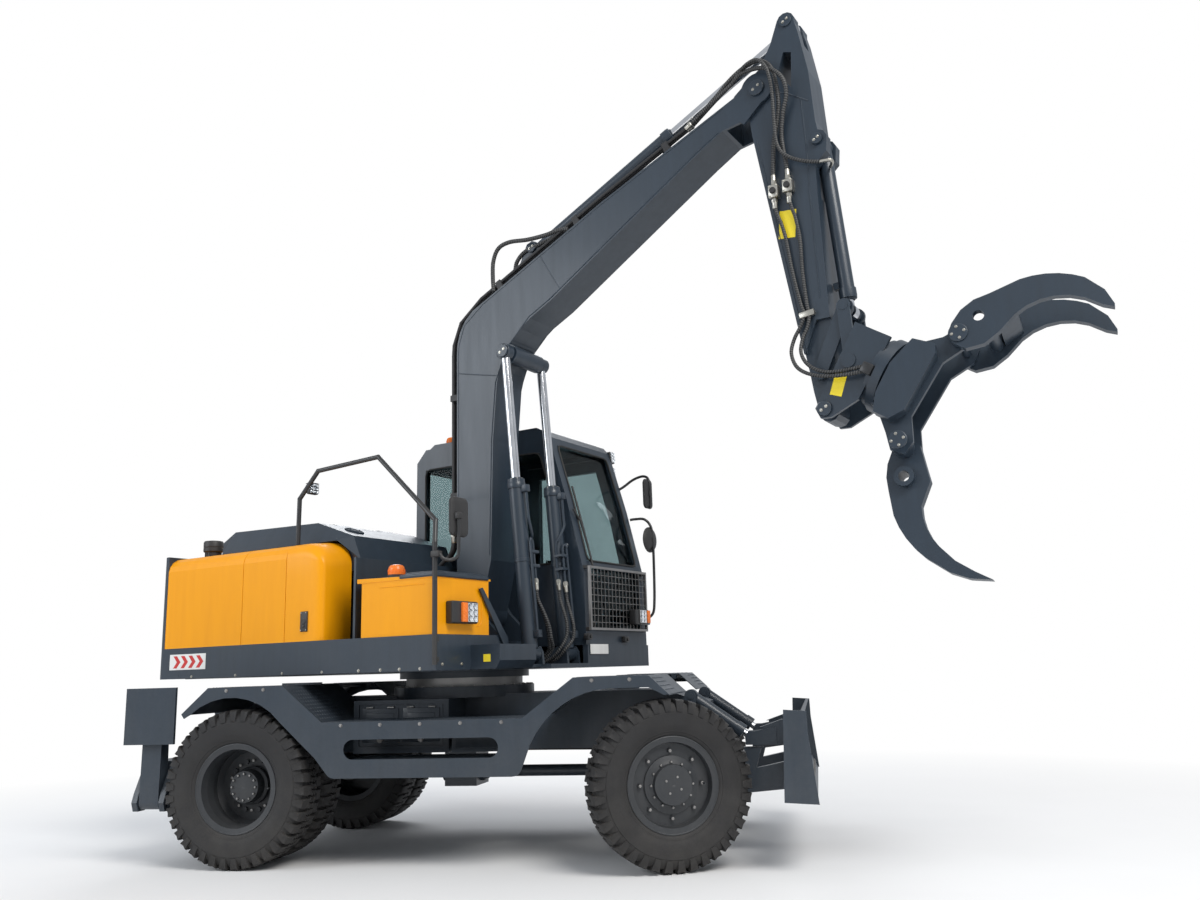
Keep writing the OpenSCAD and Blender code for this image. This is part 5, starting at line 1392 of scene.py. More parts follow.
for name, (place, radius, height) in beaconLook.items():
    beacon(name, upperPlace(*place), radius, height)
bracketLook = (
    ((0.728, -1.11, 1.58), (0.7895, -0.84, 1.73), 0.01),
    ((1.005, 0.86, 1.6), (1.0695, 1.1, 1.72), 0.01),
    ((0.59, 1.2135, 2.99), (0.65, 1.253, 3.1), 0.006),
    ((0.23, -1.185, 1.8855), (0.37, -1.055, 1.9158), 0.006),
    ((-0.552, 0.398, 3.2095), (-0.448, 0.502, 3.219), 0.002),
)
brackets = bmesh.new()
for low, high, radius in bracketLook:
    boxInto(brackets, low, high, radius, 3)
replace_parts(finishPiece("lampBrackets", brackets, upperTurn, "upper", paint["blackPaint"]), "lamps")
print("body details made")

# Boom and arm: hoses, tubes, valves, pin caps and weld beads. Routes hold points along, up and across the boom

hoseLook = {
    "arm": 0.015, "thin": 0.0125, "foot": 0.016, "loop": 0.017, "across": (-0.146, -0.116, 0.116, 0.146),
    "armA": [(2.262, 5.131, -0.146), (2.4, 5.215, -0.156), (2.52, 5.29, -0.172), (2.627, 5.36, -0.19),
        (2.747, 5.417, -0.196), (2.863, 5.427, -0.194), (2.941, 5.348, -0.19), (2.969, 5.203, -0.188),
        (2.975, 5.065, -0.184), (2.95, 4.927, -0.172), (2.915, 4.801, -0.165), (2.9, 4.654, -0.165),
        (2.892, 4.55, -0.165)],
    "armB": [(2.262, 5.131, -0.116), (2.38, 5.2, -0.135), (2.5, 5.262, -0.165), (2.62, 5.312, -0.19),
        (2.717, 5.368, -0.205), (2.869, 5.351, -0.226), (2.978, 5.29, -0.226), (3.032, 5.21, -0.215),
        (3.039, 5.107, -0.195), (3.002, 4.99, -0.18), (2.975, 4.849, -0.168), (2.978, 4.736, -0.165),
        (2.99, 4.632, -0.165), (2.995, 4.56, -0.165)],
    "armC": [(2.3, 5.18, -0.09), (2.45, 5.262, -0.118), (2.6, 5.335, -0.155), (2.75, 5.395, -0.232),
        (2.86, 5.4, -0.262), (2.922, 5.333, -0.262), (2.945, 5.242, -0.25), (2.948, 5.126, -0.224),
        (2.944, 4.939, -0.212), (2.948, 4.766, -0.203), (2.995, 4.667, -0.195), (3.106, 4.597, -0.172),
        (3.225, 4.563, -0.152)],
    "farEndA": [(3.02, 4.9, 0.17), (3.1, 4.72, 0.165), (3.16, 4.6, 0.16)],
    "farEndB": [(3.06, 4.84, 0.17), (3.13, 4.68, 0.165), (3.19, 4.52, 0.16)],
    "toolA": [(2.892, 4.335, -0.165), (2.9, 4.27, -0.16), (2.926, 4.18, -0.154), (2.949, 4.065, -0.152),
        (2.978, 3.828, -0.152), (3.021, 3.585, -0.152), (3.04, 3.517, -0.155), (3.01, 3.434, -0.165),
        (2.969, 3.351, -0.185), (2.951, 3.251, -0.212), (2.985, 3.15, -0.232), (3.06, 3.085, -0.246),
        (3.17, 3.045, -0.252), (3.3, 3.03, -0.25), (3.42, 3.035, -0.242)],
    "toolB": [(2.995, 4.35, -0.165), (3.008, 4.28, -0.16), (3.028, 4.2, -0.154), (3.047, 4.041, -0.152),
        (3.048, 3.812, -0.152), (3.062, 3.576, -0.152), (3.075, 3.511, -0.155), (3.06, 3.425, -0.168),
        (3.03, 3.341, -0.192), (3.02, 3.241, -0.22), (3.062, 3.15, -0.232), (3.15, 3.085, -0.24),
        (3.263, 3.062, -0.24), (3.42, 3.068, -0.236)],
    "elbow": [(3.222, 4.564, -0.1525), (3.262, 4.562, -0.15), (3.3, 4.56, -0.138), (3.3, 4.558, -0.1),
        (3.262, 4.556, -0.05)],
    "valves": ((2.892, 4.428), (2.995, 4.443)),
    "clamp": (3.058, 3.514, -0.158), "holder": (3.445, 3.052, -0.232),
    "loops": (("boomLoopA", -0.155, [(0.47, 4.245), (0.462, 4.36), (0.468, 4.5), (0.52, 4.6), (0.631, 4.628),
        (0.808, 4.605), (0.981, 4.6), (1.1, 4.61), (1.19, 4.6)]),
        ("boomLoopB", -0.085, [(0.64, 4.33), (0.635, 4.4), (0.655, 4.48), (0.735, 4.545), (0.87, 4.57),
        (1.02, 4.6), (1.12, 4.64), (1.22, 4.665), (1.31, 4.66)])),
}


def fittingRing(bm, point, direction, radius, length):
    # Hose end: crimped sleeve and hexagon nut
    d = Vector(direction).normalized()
    scaledRing(bm, point, d, radius, (0.0, 0.95, 1.12, 1.12, 1.2, 1.2, 1.05, 0.0), length,
        (0.0, 0.0, 0.06, 0.45, 0.5, 0.56, 0.6, 0.6), 16)
    scaledRing(bm, point + d * length * 0.6, d, radius, (0.0, 1.35, 1.35, 0.8, 0.0), length,
        (0.0, 0.0, 0.28, 0.4, 0.4), 6)


def makeArmHoses(look):
    farA, farB = ([(u, z, -v) for u, z, v in line] for line in (look["armA"][:9], look["armB"][:10]))
    for name, points, size, bodies, between in (
            ("armHoseA", look["armA"], "arm", ("boom", "arm"), (3, 9)),
            ("armHoseB", look["armB"], "arm", ("boom", "arm"), (3, 9)),
            ("armHoseC", look["armC"], "thin", ("boom", "arm"), (3, 9)),
            ("armHoseD", farA + look["farEndA"], "arm", ("boom", "arm"), (3, 8)),
            ("armHoseE", farB + look["farEndB"], "arm", ("boom", "arm"), (3, 8)),
            ("toolHoseA", look["toolA"], "thin", ("arm", "tool_bracket"), (6, 12)),
            ("toolHoseB", look["toolB"], "thin", ("arm", "tool_bracket"), (6, 11))):
        hose(name, boomPath(points), look[size], bodies, wrappedHose, between)
    silver, ends = bmesh.new(), bmesh.new()
    for u, z in look["valves"]:
        for s in (1, -1):
            fittingRing(silver, boomPoint(u, z + s * 0.125, -0.165), (0, 0, -s), 0.0155, 0.08)
    finishPiece("armFittings", silver, straight, "arm", zincPlate)
    for v in look["across"]:
        along = boomPoint(2.36, 5.19, v) - boomPoint(2.26, 5.131, v)
        fittingRing(ends, boomPoint(2.235, 5.117, v), along, 0.0165, 0.06)
    finishPiece("boomTipFittings", ends, straight, "boom", zincPlate)
    pieceFromMesh("toolElbow", tubeMesh("toolElbow", [boomPath(look["elbow"])], 0.0115, 10), "tool_barrel", zincPlate)
    clamp, holder = bmesh.new(), bmesh.new()
    boxInto(clamp, (-0.052, -0.012, -0.02), (0.052, 0.02, 0.02), 0.004, 2,
        tippedPlace(boomPoint(*look["clamp"]), -0.12))
    finishPiece("hoseClamp", clamp, straight, "arm", zincPlate)
    boxInto(holder, (-0.03, -0.03, -0.035), (0.045, 0.025, 0.035), 0.008, 2,
        tippedPlace(boomPoint(*look["holder"]), 0.57))
    finishPiece("hoseHolder", holder, straight, "tool_bracket", paint["blackPaint"])


def makeValves(look):
    # Line valves on the arm's right side
    block, cap, screws = bmesh.new(), bmesh.new(), []
    for u, z in look["valves"]:
        place = tippedPlace(boomPoint(u, z))
        boxInto(block, (-0.034, -0.193, -0.046), (0.034, -0.1354, 0.046), 0.004, 2, place)
        ring = bmesh.new()
        addRing(ring, (0, -0.1925, 0), (0, -1, 0), (0.0, 0.023, 0.023, 0.02, 0.012, 0.0),
            (0.0, 0.0, 0.012, 0.017, 0.019, 0.019), 20)
        mergeInto(cap, ring, place)
        screws += [(place @ Vector((x, -0.193, h)), place.to_3x3() @ Vector((0, -1, 0)), 0.011)
            for x in (-0.025, 0.025) for h in (-0.036, 0.036)]
    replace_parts(finishPiece("valveBlocks", block, straight, "arm", zincPlate), "arm_valves")
    finishPiece("valveCaps", cap, straight, "arm", blackPlastic)
    bolts("valveScrews", screws, straight, "arm", zincPlate)


cylinderLook = {
    "foot": (0.835, 1.378), "head": (0.64, 3.686), "across": 0.24, "capScrews": 8, "capCircle": 0.0555,
    # Housing at the rod's end and ring around the barrel: place along it, radii, offsets
    "cap": (1.222, (0.058, 0.0665, 0.0675, 0.0675, 0.065, 0.065, 0.048, 0.045, 0.0415),
        (0.0, 0.0, 0.003, 0.04, 0.044, 0.07, 0.0735, 0.082, 0.082), 32),
    "band": (0.664, (0.0585, 0.064, 0.064, 0.0585), (0.0, 0.002, 0.026, 0.028), 28),
    "ports": ((1.185, 1.238, 0.026, 0.05), (0.105, 0.16, 0.024, 0.045)),
    # Places of the tube holders, and their two boxes: sides, heights and inset, clear of the bore
    "holders": (0.62, 0.725),
    "holder": ((0.0, 0.094, 0.04, 0.09, 0.0), (0.05, 0.0935, 0.02, 0.0895, 0.0005)),
    # Tubes on the barrel, their side offsets for the left cylinder
    "tubes": ([(1.19, 0, 0.084), (1.02, 0, 0.084), (0.965, 0.006, 0.083), (0.87, 0.06, 0.062), (0.81, 0.079, 0.036),
        (0.545, 0.08, 0.034)],
        [(0.15, -0.006, 0.082), (0.2, -0.004, 0.082), (0.76, 0.0, 0.082), (0.808, 0.006, 0.083), (0.82, 0.022, 0.08),
        (0.808, 0.038, 0.076), (0.76, 0.043, 0.073), (0.525, 0.044, 0.073)]),
    # Hose from each tube's end: forward, height, its step for the second hose and the share of the side offset
    "route": ((0.045, 1.7, 0.02, 0.92), (0.08, 1.6, 0.02, 0.85), (0.085, 1.5, 0.015, 0.74),
        (0.055, 1.41, 0.0, 0.45), (-0.01, 1.345, 0.0, 0.405), (-0.09, 1.316, 0.0, 0.405)),
    "heads": (("armCylinderHead", "arm_barrel", (0.8, 4.564), (3.049, 5.704), 1.4, 0.054),
        ("toolCylinderHead", "tool_barrel", (3.21, 4.74), (3.306, 3.52), 1.13, 0.05)),
}


def cylinderPlace(a, b, v):
    # Along a cylinder from a to b in the boom's plane, its Y to the right and its Z to the front
    foot, head = boomPoint(*a, v), boomPoint(*b, v)
    ahead = (head - foot).normalized()
    right = acrossBoom(-1)
    return Matrix.Translation(foot) @ Matrix((ahead, right, ahead.cross(right))).transposed().to_4x4()


def makeBoomCylinders(look):
    block, silver, screws, tubes = bmesh.new(), bmesh.new(), [], []
    for side in (-1, 1):
        place = cylinderPlace(look["foot"], look["head"], side * look["across"])
        ring = bmesh.new()
        for at, radii, offsets, sides in (look["cap"], look["band"]):
            addRing(ring, (at, 0, 0), (1, 0, 0), radii, offsets, sides)
        for x0, x1, half, low in look["ports"]:
            boxInto(ring, (x0, -half, low), (x1, half, 0.104), 0.004)
        for at in look["holders"]:
            for near, far, low, high, inset in look["holder"]:
                sideBox(ring, (at + inset, at + 0.022 - inset), (near * side, far * side), (low, high), 0.003, 1)
        mergeInto(block, ring, place)
        screws += [(place @ Vector((1.292, c, s)), place.to_3x3() @ Vector((1, 0, 0)), 0.012)
            for c, s in circle(look["capScrews"], look["capCircle"])]
        for i, line in enumerate(look["tubes"]):
            line = [Vector((x, y * side, z)) for x, y, z in line]
            tubes.append(smoothPath([place @ p for p in line], 4))
            fitting = bmesh.new()
            fittingRing(fitting, line[-1] - Vector((0.072, 0, 0)), (1, 0, 0), 0.0145, 0.085)
            mergeInto(silver, fitting, place)
            start = place @ (line[-1] - Vector((0.07, 0, 0)))
            u, v, z = upperTurn.inverted() @ start
            v += machine["boomOffset"]
            route = [start, boomPoint(u + 0.01, z - 0.07, v)]
            route += [boomPoint(u + ahead, height - drop * i, v * share)
                for ahead, height, drop, share in look["route"]]
            label = f"boomCylinderHose{side}{i}".replace("-", "R")
            hose(label, route, hoseLook["thin"], ("upper", "boom_barrels"), wrappedHose, (7, 1))
    finishPiece("boomCylinderCaps", block, straight, "boom_barrels", paint["slatePaint"])
    finishPiece("boomCylinderFittings", silver, straight, "boom_barrels", zincPlate)
    tubePiece("boomCylinderTubes", tubes, 0.0105, 10, "boom_barrels", paint["slatePaint"])
    bolts("boomCylinderScrews", screws, straight, "boom_barrels", zincPlate)
    for name, body, a, b, length, r in look["heads"]:
        ring = bmesh.new()
        addRing(ring, (length - 0.07, 0, 0), (1, 0, 0), (r, r + 0.0085, r + 0.0085, r + 0.006, r * 0.82, r * 0.78),
            (0.0, 0.002, 0.05, 0.071, 0.0745, 0.084), 28)
        boxInto(ring, (length - 0.13, -0.022, r * 0.7), (length - 0.08, 0.022, r + 0.034), 0.003, 1)
        finishPiece(name, ring, cylinderPlace(a, b, 0.0), body, paint["slatePaint"])


def makeFootHoses(look):
    silver = bmesh.new()
    for i, v in enumerate(look["across"]):
        d = 0.022 * (i % 2)
        points = [(0.048, 2.302, v), (0.046, 2.25, v), (0.03, 2.19 + d * 0.4, v), (-0.008, 2.142 + d * 0.5, v),
            (-0.058, 2.106 + d, v * 1.05), (-0.12, 2.05 + d, v * 1.1), (-0.19, 1.985 + d, v * 1.15),
            (-0.25, 1.925 + d, v * 1.2), (-0.31, 1.865 + d, v * 1.25)]
        hose(f"footHose{i}", boomPath(points), look["foot"], ("upper", "boom"), hoseRubber, (6, 1))
        fittingRing(silver, boomPoint(0.047, 2.255, v), (0, 0, 1), 0.0165, 0.085)
    finishPiece("footFittings", silver, straight, "boom", zincPlate)
    for name, v, line in look["loops"]:
        hose(name, boomPath([(u, z, v) for u, z in line]), look["loop"], ("boom",), wrappedHose)


# Body, place along and up the boom, offset to each side and radius of every pin cap
pinLook = (
    ("upper", 0.215, 1.7, 0.2165, 0.062), ("upper", 0.835, 1.378, 0.3295, 0.05),
    ("boom_rods", 0.64, 3.686, 0.2762, 0.052), ("boom", 2.812, 5.243, 0.1735, 0.058),
    ("boom", 0.8, 4.564, 0.0875, 0.042), ("arm", 3.143, 2.845, 0.2055, 0.05),
    ("arm", 3.049, 5.704, 0.1355, 0.045), ("arm", 3.21, 4.74, 0.1452, 0.04),
)


def makePinCaps(look):
    caps, screws = {}, {}
    for body, u, z, v, r in look:
        bm = caps.setdefault(body, bmesh.new())
        for side in (-1, 1):
            out = acrossBoom(side)
            addRing(bm, boomPoint(u, z, side * (v - 0.001)), out, (0.0, r, r, r * 0.93, r * 0.5, 0.0),
                (0.0, 0.0, 0.009, 0.013, 0.013, 0.013), 28)
            for dx in (-0.42, 0.42):
                spot = boomPoint(u + dx * r * 0.8, z + dx * r * 0.5, side * (v + 0.012))
                screws.setdefault(body, []).append((spot, out, 0.016))
    for body, bm in caps.items():
        finishPiece("pinCaps_" + body, bm, straight, body, paint["slatePaint"])
        bolts("pinScrews_" + body, screws[body], straight, body, zincPlate)


weldLook = {
    "radius": 0.0042,
    "boom": (0.1652, (
        [(0.113, 2.13), (0.113, 3.78), (0.119, 3.856), (0.176, 4.014), (0.365, 4.157), (1.501, 4.714), (2.545, 5.172)],
        [(2.5, 4.998), (2.327, 4.899), (1.009, 4.058), (0.815, 3.957), (0.59, 3.736), (0.486, 3.482), (0.443, 3.026),
            (0.415, 2.13)],
        [(0.113, 3.62), (0.505, 3.535)], [(0.93, 4.434), (1.11, 4.122)])),
    "arm": (0.1352, (
        [(2.93, 5.19), (3.02, 5.15), (3.17, 5.045)], [(3.12, 5.075), (3.135, 4.7), (3.133, 4.4), (3.15, 3.62)],
        [(2.78, 4.86), (3.035, 3.25)])),
}


def makeWeldBeads(look):
    for body in ("boom", "arm"):
        across, lines = look[body]
        paths = [boomPath([(u, z, side * across) for u, z in line]) for side in (-1, 1) for line in lines]
        tubePiece(body + "Welds", paths, look["radius"], 6, body, paint["slatePaint"])


makeArmHoses(hoseLook)
makeValves(hoseLook)
makeBoomCylinders(cylinderLook)
makeFootHoses(hoseLook)
makePinCaps(pinLook)
makeWeldBeads(weldLook)
print("boom and arm details made")

# Cab: seals around the glass, wiper, plates

cabFront = [(1.44, 0.962), (2.0, 0.955), (2.57, 0.815), (3.11, 0.655)]  # Height and X of the front's edge
sealLook = {
    "radius": 0.008, "out": 0.003, "corner": 0.05, "front": ((2.09, 3.05), (1.56, 2.04)), "knee": 2.57,
    "frontY": (0.358, 1.123), "sideY": ((0.2675, -0.19), (1.2135, -0.29)),
    "door": ((-0.1, 2.08), (0.79, 2.08), (0.7, 2.5), (0.56, 2.99), (-0.1, 2.99)),
    "rear": [(-0.7525, 0.388, 2.2), (-0.7525, 1.093, 2.2), (-0.7485, 1.093, 3.0), (-0.7485, 0.388, 3.0)],
    "wiperArm": [(0.391, 2.05), (0.388, 2.2), (0.368, 2.41), (0.3, 2.5)],
    "wiperBlade": [(0.405, 2.12), (0.395, 2.4), (0.39, 2.7)], "wiperRadius": 0.0085,
}


def frontX(z):
    for (z0, x0), (z1, x1) in zip(cabFront, cabFront[1:]):
        if z <= z1:
            return x0 + (x1 - x0) * (z - z0) / (z1 - z0)
    return cabFront[-1][1]


def roundCorners(loop, r):
    # The same loop with its corners cut round, closed at its start
    out = []
    for i, p in enumerate(loop):
        a, b, c = Vector(loop[i - 1]), Vector(p), Vector(loop[(i + 1) % len(loop)])
        near, far = (b + (end - b).normalized() * min(r, (end - b).length / 2) for end in (a, c))
        out += [tuple(near), tuple((near + far) / 4 + b / 2), tuple(far)]
    return out + out[:2]


def makeSeals(look):
    loops = []
    for z0, z1 in look["front"]:
        heights = [z0, look["knee"], z1] if z0 < look["knee"] < z1 else [z0, z1]
        points = [(frontX(z) + look["out"], z) for z in heights]
        loops.append([(x, look["frontY"][0], z) for x, z in points]
            + [(x, look["frontY"][1], z) for x, z in reversed(points)])
    for y, edge in look["sideY"]:
        loops.append([(x, y, z) for x, z in look["door"]])
        loops.append([(x, y, z) for x, z in ((-0.64, 2.2), (edge, 2.2), (edge, 2.99), (-0.64, 2.99))])
    loops.append(look["rear"])
    rounded = [upperPath(roundCorners(loop, look["corner"])) for loop in loops]
    tubePiece("glassSeals", rounded, look["radius"], 8, "upper", softRubber)
    # Wiper over the right edge of the windscreen
    arm = upperPath([(frontX(z) + 0.02, y, z) for y, z in look["wiperArm"]])
    blade = upperPath([(frontX(z) + 0.012, y, z) for y, z in look["wiperBlade"]])
    tubePiece("wiper", [arm, blade], look["wiperRadius"], 8, "upper", blackPlastic)


plateLook = {
    "blank": ((0.9775, 0.296, 1.369), (0.9835, 0.557, 1.444)), "lamps": ((0.27, 1.496), (0.829, 1.479)),
    "feet": ((0.285, 2.032), (1.148, 2.023), (0.285, 1.558), (1.148, 1.56)), "thick": 0.0006,
    # Stickers: body, low and high corner in the boom's plane, tilt
    "stickers": (("armSticker", "arm", (2.9, -0.1366, 4.085), (3.02, -0.1352, 4.285), 0.1),
        ("bracketSticker", "tool_bracket", (3.205, -0.2006, 2.915), (3.285, -0.1992, 3.05), 0.35)),
    "ledge": ((0.845, -0.8545, 1.325), (0.905, -0.8528, 1.375)),
}


def makeCabPlates(look):
    white, black = bmesh.new(), bmesh.new()
    boxInto(white, *look["blank"], 0.002, 1)
    finishPiece("blankPlate", white, upperTurn, "upper", paint["whitePaint"])
    for y, z in look["lamps"]:
        boxInto(black, (0.955, y - 0.03, z - 0.02), (1.002, y + 0.03, z + 0.028), 0.008)
        addRing(black, (0.998, y, z + 0.005), (1, 0, 0), (0.0, 0.014, 0.014, 0.0), (0.0, 0.0, 0.014, 0.016), 14)
    for y, z in look["feet"]:
        boxInto(black, (0.945, y - 0.014, z - 0.014), (0.992, y + 0.014, z + 0.014), 0.003, 1)
    finishPiece("guardFeet", black, upperTurn, "upper", paint["blackPaint"])
    for name, body, low, high, turn in look["stickers"]:
        x, z = (high[0] - low[0]) / 2, (high[2] - low[2]) / 2
        sticker = roundedBox((-x, low[1], -z), (x, high[1], z), look["thick"], 1)
        finishPiece(name, sticker, tippedPlace(boomPoint(low[0] + x, low[2] + z), turn), body, labelYellow)
    finishPiece("ledgeSticker", roundedBox(*look["ledge"], look["thick"], 1), upperTurn, "upper", labelYellow)


# Seat, levers, pedals and steering ring

cabinLook = {
    # Low corner, high corner and rounding of every block of the seat's frame, the column and the consoles
    "blocks": (
        ((-0.34, 0.53, 1.4405), (0.06, 0.93, 1.5), 0.012), ((-0.3, 0.58, 1.5), (0.02, 0.88, 1.66), 0.03),
        ((-0.35, 0.51, 1.66), (0.12, 0.95, 1.71), 0.015), ((-0.475, 0.56, 1.76), (-0.425, 0.9, 2.45), 0.015),
        ((0.49, 0.665, 1.4405), (0.57, 0.795, 2.02), 0.02), ((0.42, 0.64, 2.0), (0.57, 0.82, 2.075), 0.025),
        ((-0.31, 0.35, 1.88), (0.11, 0.455, 1.97), 0.02), ((-0.31, 1.005, 1.88), (0.11, 1.105, 1.97), 0.02),
        ((-0.12, 0.375, 1.4405), (0.0, 0.435, 1.89), 0.015), ((-0.12, 1.025, 1.4405), (0.0, 1.085, 1.89), 0.015),
        ((0.6, 0.33, 2.04), (0.64, 0.455, 2.2), 0.012)),
    "cushions": (("seatCushion", (-0.37, 0.495, 1.705), (0.15, 0.965, 1.865)),
        ("backCushion", (-0.445, 0.505, 1.86), (-0.325, 0.955, 2.42)),
        ("headCushion", (-0.435, 0.6, 2.44), (-0.345, 0.86, 2.62))),
    "crown": 0.3, "fill": 0.85, "cuts": 11, "welt": 0.006, "weltPoints": 48,
    "levers": (0.402, 1.055), "pedals": (0.64, 0.82), "wheel": (0.43, 0.73, 2.115), "wheelRadius": 0.17,
}


def cushion(name, low, high, look):
    # Crowned foam cushion with a welt round its middle
    bm = bmesh.new()
    bmesh.ops.create_cube(bm, size=2.0)
    bmesh.ops.subdivide_edges(bm, edges=bm.edges, cuts=look["cuts"], use_grid_fill=True)
    centre = (Vector(low) + Vector(high)) / 2
    half = (Vector(high) - Vector(low)) / 2
    thin = min(range(3), key=lambda i: half[i])
    axes = [i for i in range(3) if i != thin]
    for vert in bm.verts:
        p = vert.co.copy()
        grow = (1 - abs(p[axes[0]]) ** 4) * (1 - abs(p[axes[1]]) ** 4)
        soft = p.copy()
        for i in range(3):
            soft[i] *= 1 - 0.055 * sum(abs(p[k]) ** 6 for k in range(3) if k != i)
        soft[thin] *= 0.72 + look["crown"] * grow
        vert.co = Vector((soft[i] * half[i] + centre[i] for i in range(3)))
    rim = []
    for turn in circle(look["weltPoints"]):
        spot = Vector()
        for axis, value in zip(axes, turn):
            spot[axis] = half[axis] * 0.965 * math.copysign(abs(value) ** 0.25, value)
        rim.append(upperTurn @ (centre + spot))
    finishPiece(name, bm, upperTurn, "upper", seatFabric, 60)
    tubePiece(name + "Welt", [rim + rim[:1]], look["welt"], 8, "upper", blackPlastic)


def makeCabInside(look):
    base, knobs, rods = bmesh.new(), bmesh.new(), []
    for low, high, r in look["blocks"]:
        boxInto(base, low, high, r)
    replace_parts(finishPiece("seatFrame", base, upperTurn, "upper", blackPlastic), "seat")
    for name, low, high in look["cushions"]:
        cushion(name, low, high, look)
    for y in look["levers"]:
        rods.append(upperPath([(0.06, y, 1.965), (0.065, y, 2.04), (0.085, y, 2.13)]))
        addRing(knobs, (0.083, y, 2.11), (0.15, 0, 1), (0.0, 0.016, 0.024, 0.027, 0.022, 0.0),
            (0.0, 0.004, 0.03, 0.07, 0.095, 0.1), 14)
    for y in look["pedals"]:
        rods.append(upperPath([(0.66, y, 1.445), (0.62, y, 1.6), (0.6, y, 1.74)]))
        boxInto(knobs, (0.6, y - 0.045, 1.455), (0.84, y + 0.045, 1.48), 0.008)
    x, y, z = look["wheel"]
    wheel = [(x + c * 0.88, y + s, z + c * 0.47) for c, s in circle(36, look["wheelRadius"])]
    spokes = [upperPath((wheel[i], (x, y, z - 0.015))) for i in (0, 12, 24)]
    tubePiece("wheelSpokes", spokes + rods, 0.009, 8, "upper", bareSteel)
    tubePiece("steeringRing", [upperPath(wheel + wheel[:2])], 0.014, 10, "upper", blackPlastic)
    addRing(knobs, (0.438, y, 2.09), (-0.47, 0, 0.88), (0.0, 0.045, 0.045, 0.03, 0.0),
        (0.0, 0.0, 0.012, 0.02, 0.022), 20)
    finishPiece("leverGrips", knobs, upperTurn, "upper", blackPlastic)


# Mirrors and the lid of the tank

mirrorLook = {
    # Depth and inset of each layer
    "shell": ((0.0, 0.012), (0.005, 0.002), (0.012, 0.0), (0.022, 0.004), (0.03, 0.018), (0.034, 0.04)),
    "pane": ((0.0, 0.002), (0.0022, 0.0)),
    # Side, height, half width, half height, corner and front of each housing and of its glass
    "housings": ((-1.105, 2.285, 0.095, 0.135, 0.045, 0.824), (1.29, 2.73, 0.07, 0.13, 0.04, 0.972)),
    "panes": ((-1.105, 2.285, 0.086, 0.126, 0.04, 0.8222), (1.29, 2.73, 0.062, 0.122, 0.035, 0.9702)),
    "feet": ((0.9, 1.65), (0.725, 2.78)), "clamps": ((2.33, 1.018), (2.73, 1.006)), "sides": 32, "tube": 0.0115,
    "tubes": (
        [(0.782, -1.233, 2.03), (0.806, -1.226, 2.0), (0.835, -1.19, 1.99), (0.868, -1.158, 2.01),
            (0.874, -1.15, 2.08), (0.874, -1.15, 2.3)],
        [(0.9, 1.222, 1.65), (0.935, 1.258, 1.658), (0.99, 1.288, 1.7), (1.01, 1.29, 1.8),
            (1.018, 1.29, 2.05), (1.018, 1.29, 2.33), (1.0, 1.29, 2.45), (0.95, 1.272, 2.51),
            (0.88, 1.245, 2.515), (0.838, 1.222, 2.51)],
        [(0.725, 1.222, 2.78), (0.775, 1.252, 2.815), (0.86, 1.275, 2.87), (0.95, 1.29, 2.89),
            (1.0, 1.29, 2.85), (1.01, 1.29, 2.73), (1.006, 1.29, 2.6)]),
}


def softShell(bm, y, z, halfY, halfZ, corner, x, layers, sides):
    # Rounded housing, its glass side at x, narrowing towards its back
    rings = []
    for depth, inset in layers:
        hy, hz, r = halfY - inset, halfZ - inset, max(corner - inset, 0.006)
        rings.append([bm.verts.new((x + depth, y + math.copysign(hy - r, c) + r * c,
            z + math.copysign(hz - r, s) + r * s)) for c, s in circle(sides, 1.0, math.pi / sides)])
    bm.faces.new(list(reversed(rings[0])))
    bm.faces.new(rings[-1])
    bridge(bm, rings)


def makeMirrors(look):
    shells, glass = bmesh.new(), bmesh.new()
    for housing, pane in zip(look["housings"], look["panes"]):
        softShell(shells, *housing, look["shell"], look["sides"])
        softShell(glass, *pane, look["pane"], look["sides"])
    # Round mirror below the left one
    addRing(shells, (0.978, 1.29, 2.33), (1, 0, 0), (0.0, 0.104, 0.11, 0.11, 0.095, 0.06, 0.02, 0.0),
        (0.0, 0.0, 0.004, 0.01, 0.026, 0.04, 0.046, 0.046), 32)
    addRing(glass, (0.9755, 1.29, 2.33), (1, 0, 0), (0.0, 0.05, 0.1, 0.1, 0.0),
        (-0.008, -0.006, 0.0, 0.002, 0.002), 32)
    boxInto(shells, (0.718, -1.255, 2.012), (0.788, -1.211, 2.052), 0.006)
    addRing(shells, (0.864, -1.15, 2.285), (1, 0, 0), (0.02, 0.026, 0.026, 0.018, 0.0),
        (-0.012, -0.004, 0.02, 0.028, 0.029), 18)
    boxInto(shells, (0.852, -1.176, 2.262), (0.89, -1.124, 2.308), 0.008)
    for x, z in look["feet"]:
        boxInto(shells, (x - 0.022, 1.2125, z - 0.022), (x + 0.022, 1.226, z + 0.022), 0.004, 1)
    for z, x in look["clamps"]:
        boxInto(shells, (x - 0.012, 1.268, z - 0.022), (x + 0.014, 1.312, z + 0.022), 0.006)
    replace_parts(finishPiece("mirrorHousings", shells, upperTurn, "upper", blackPlastic), "mirrors")
    finishPiece("mirrorGlass", glass, upperTurn, "upper", mirrorSilver)
    lines = [smoothPath(upperPath(line), 5) for line in look["tubes"]]
    tubePiece("mirrorTubes", lines, look["tube"], 12, "upper", paint["blackPaint"])


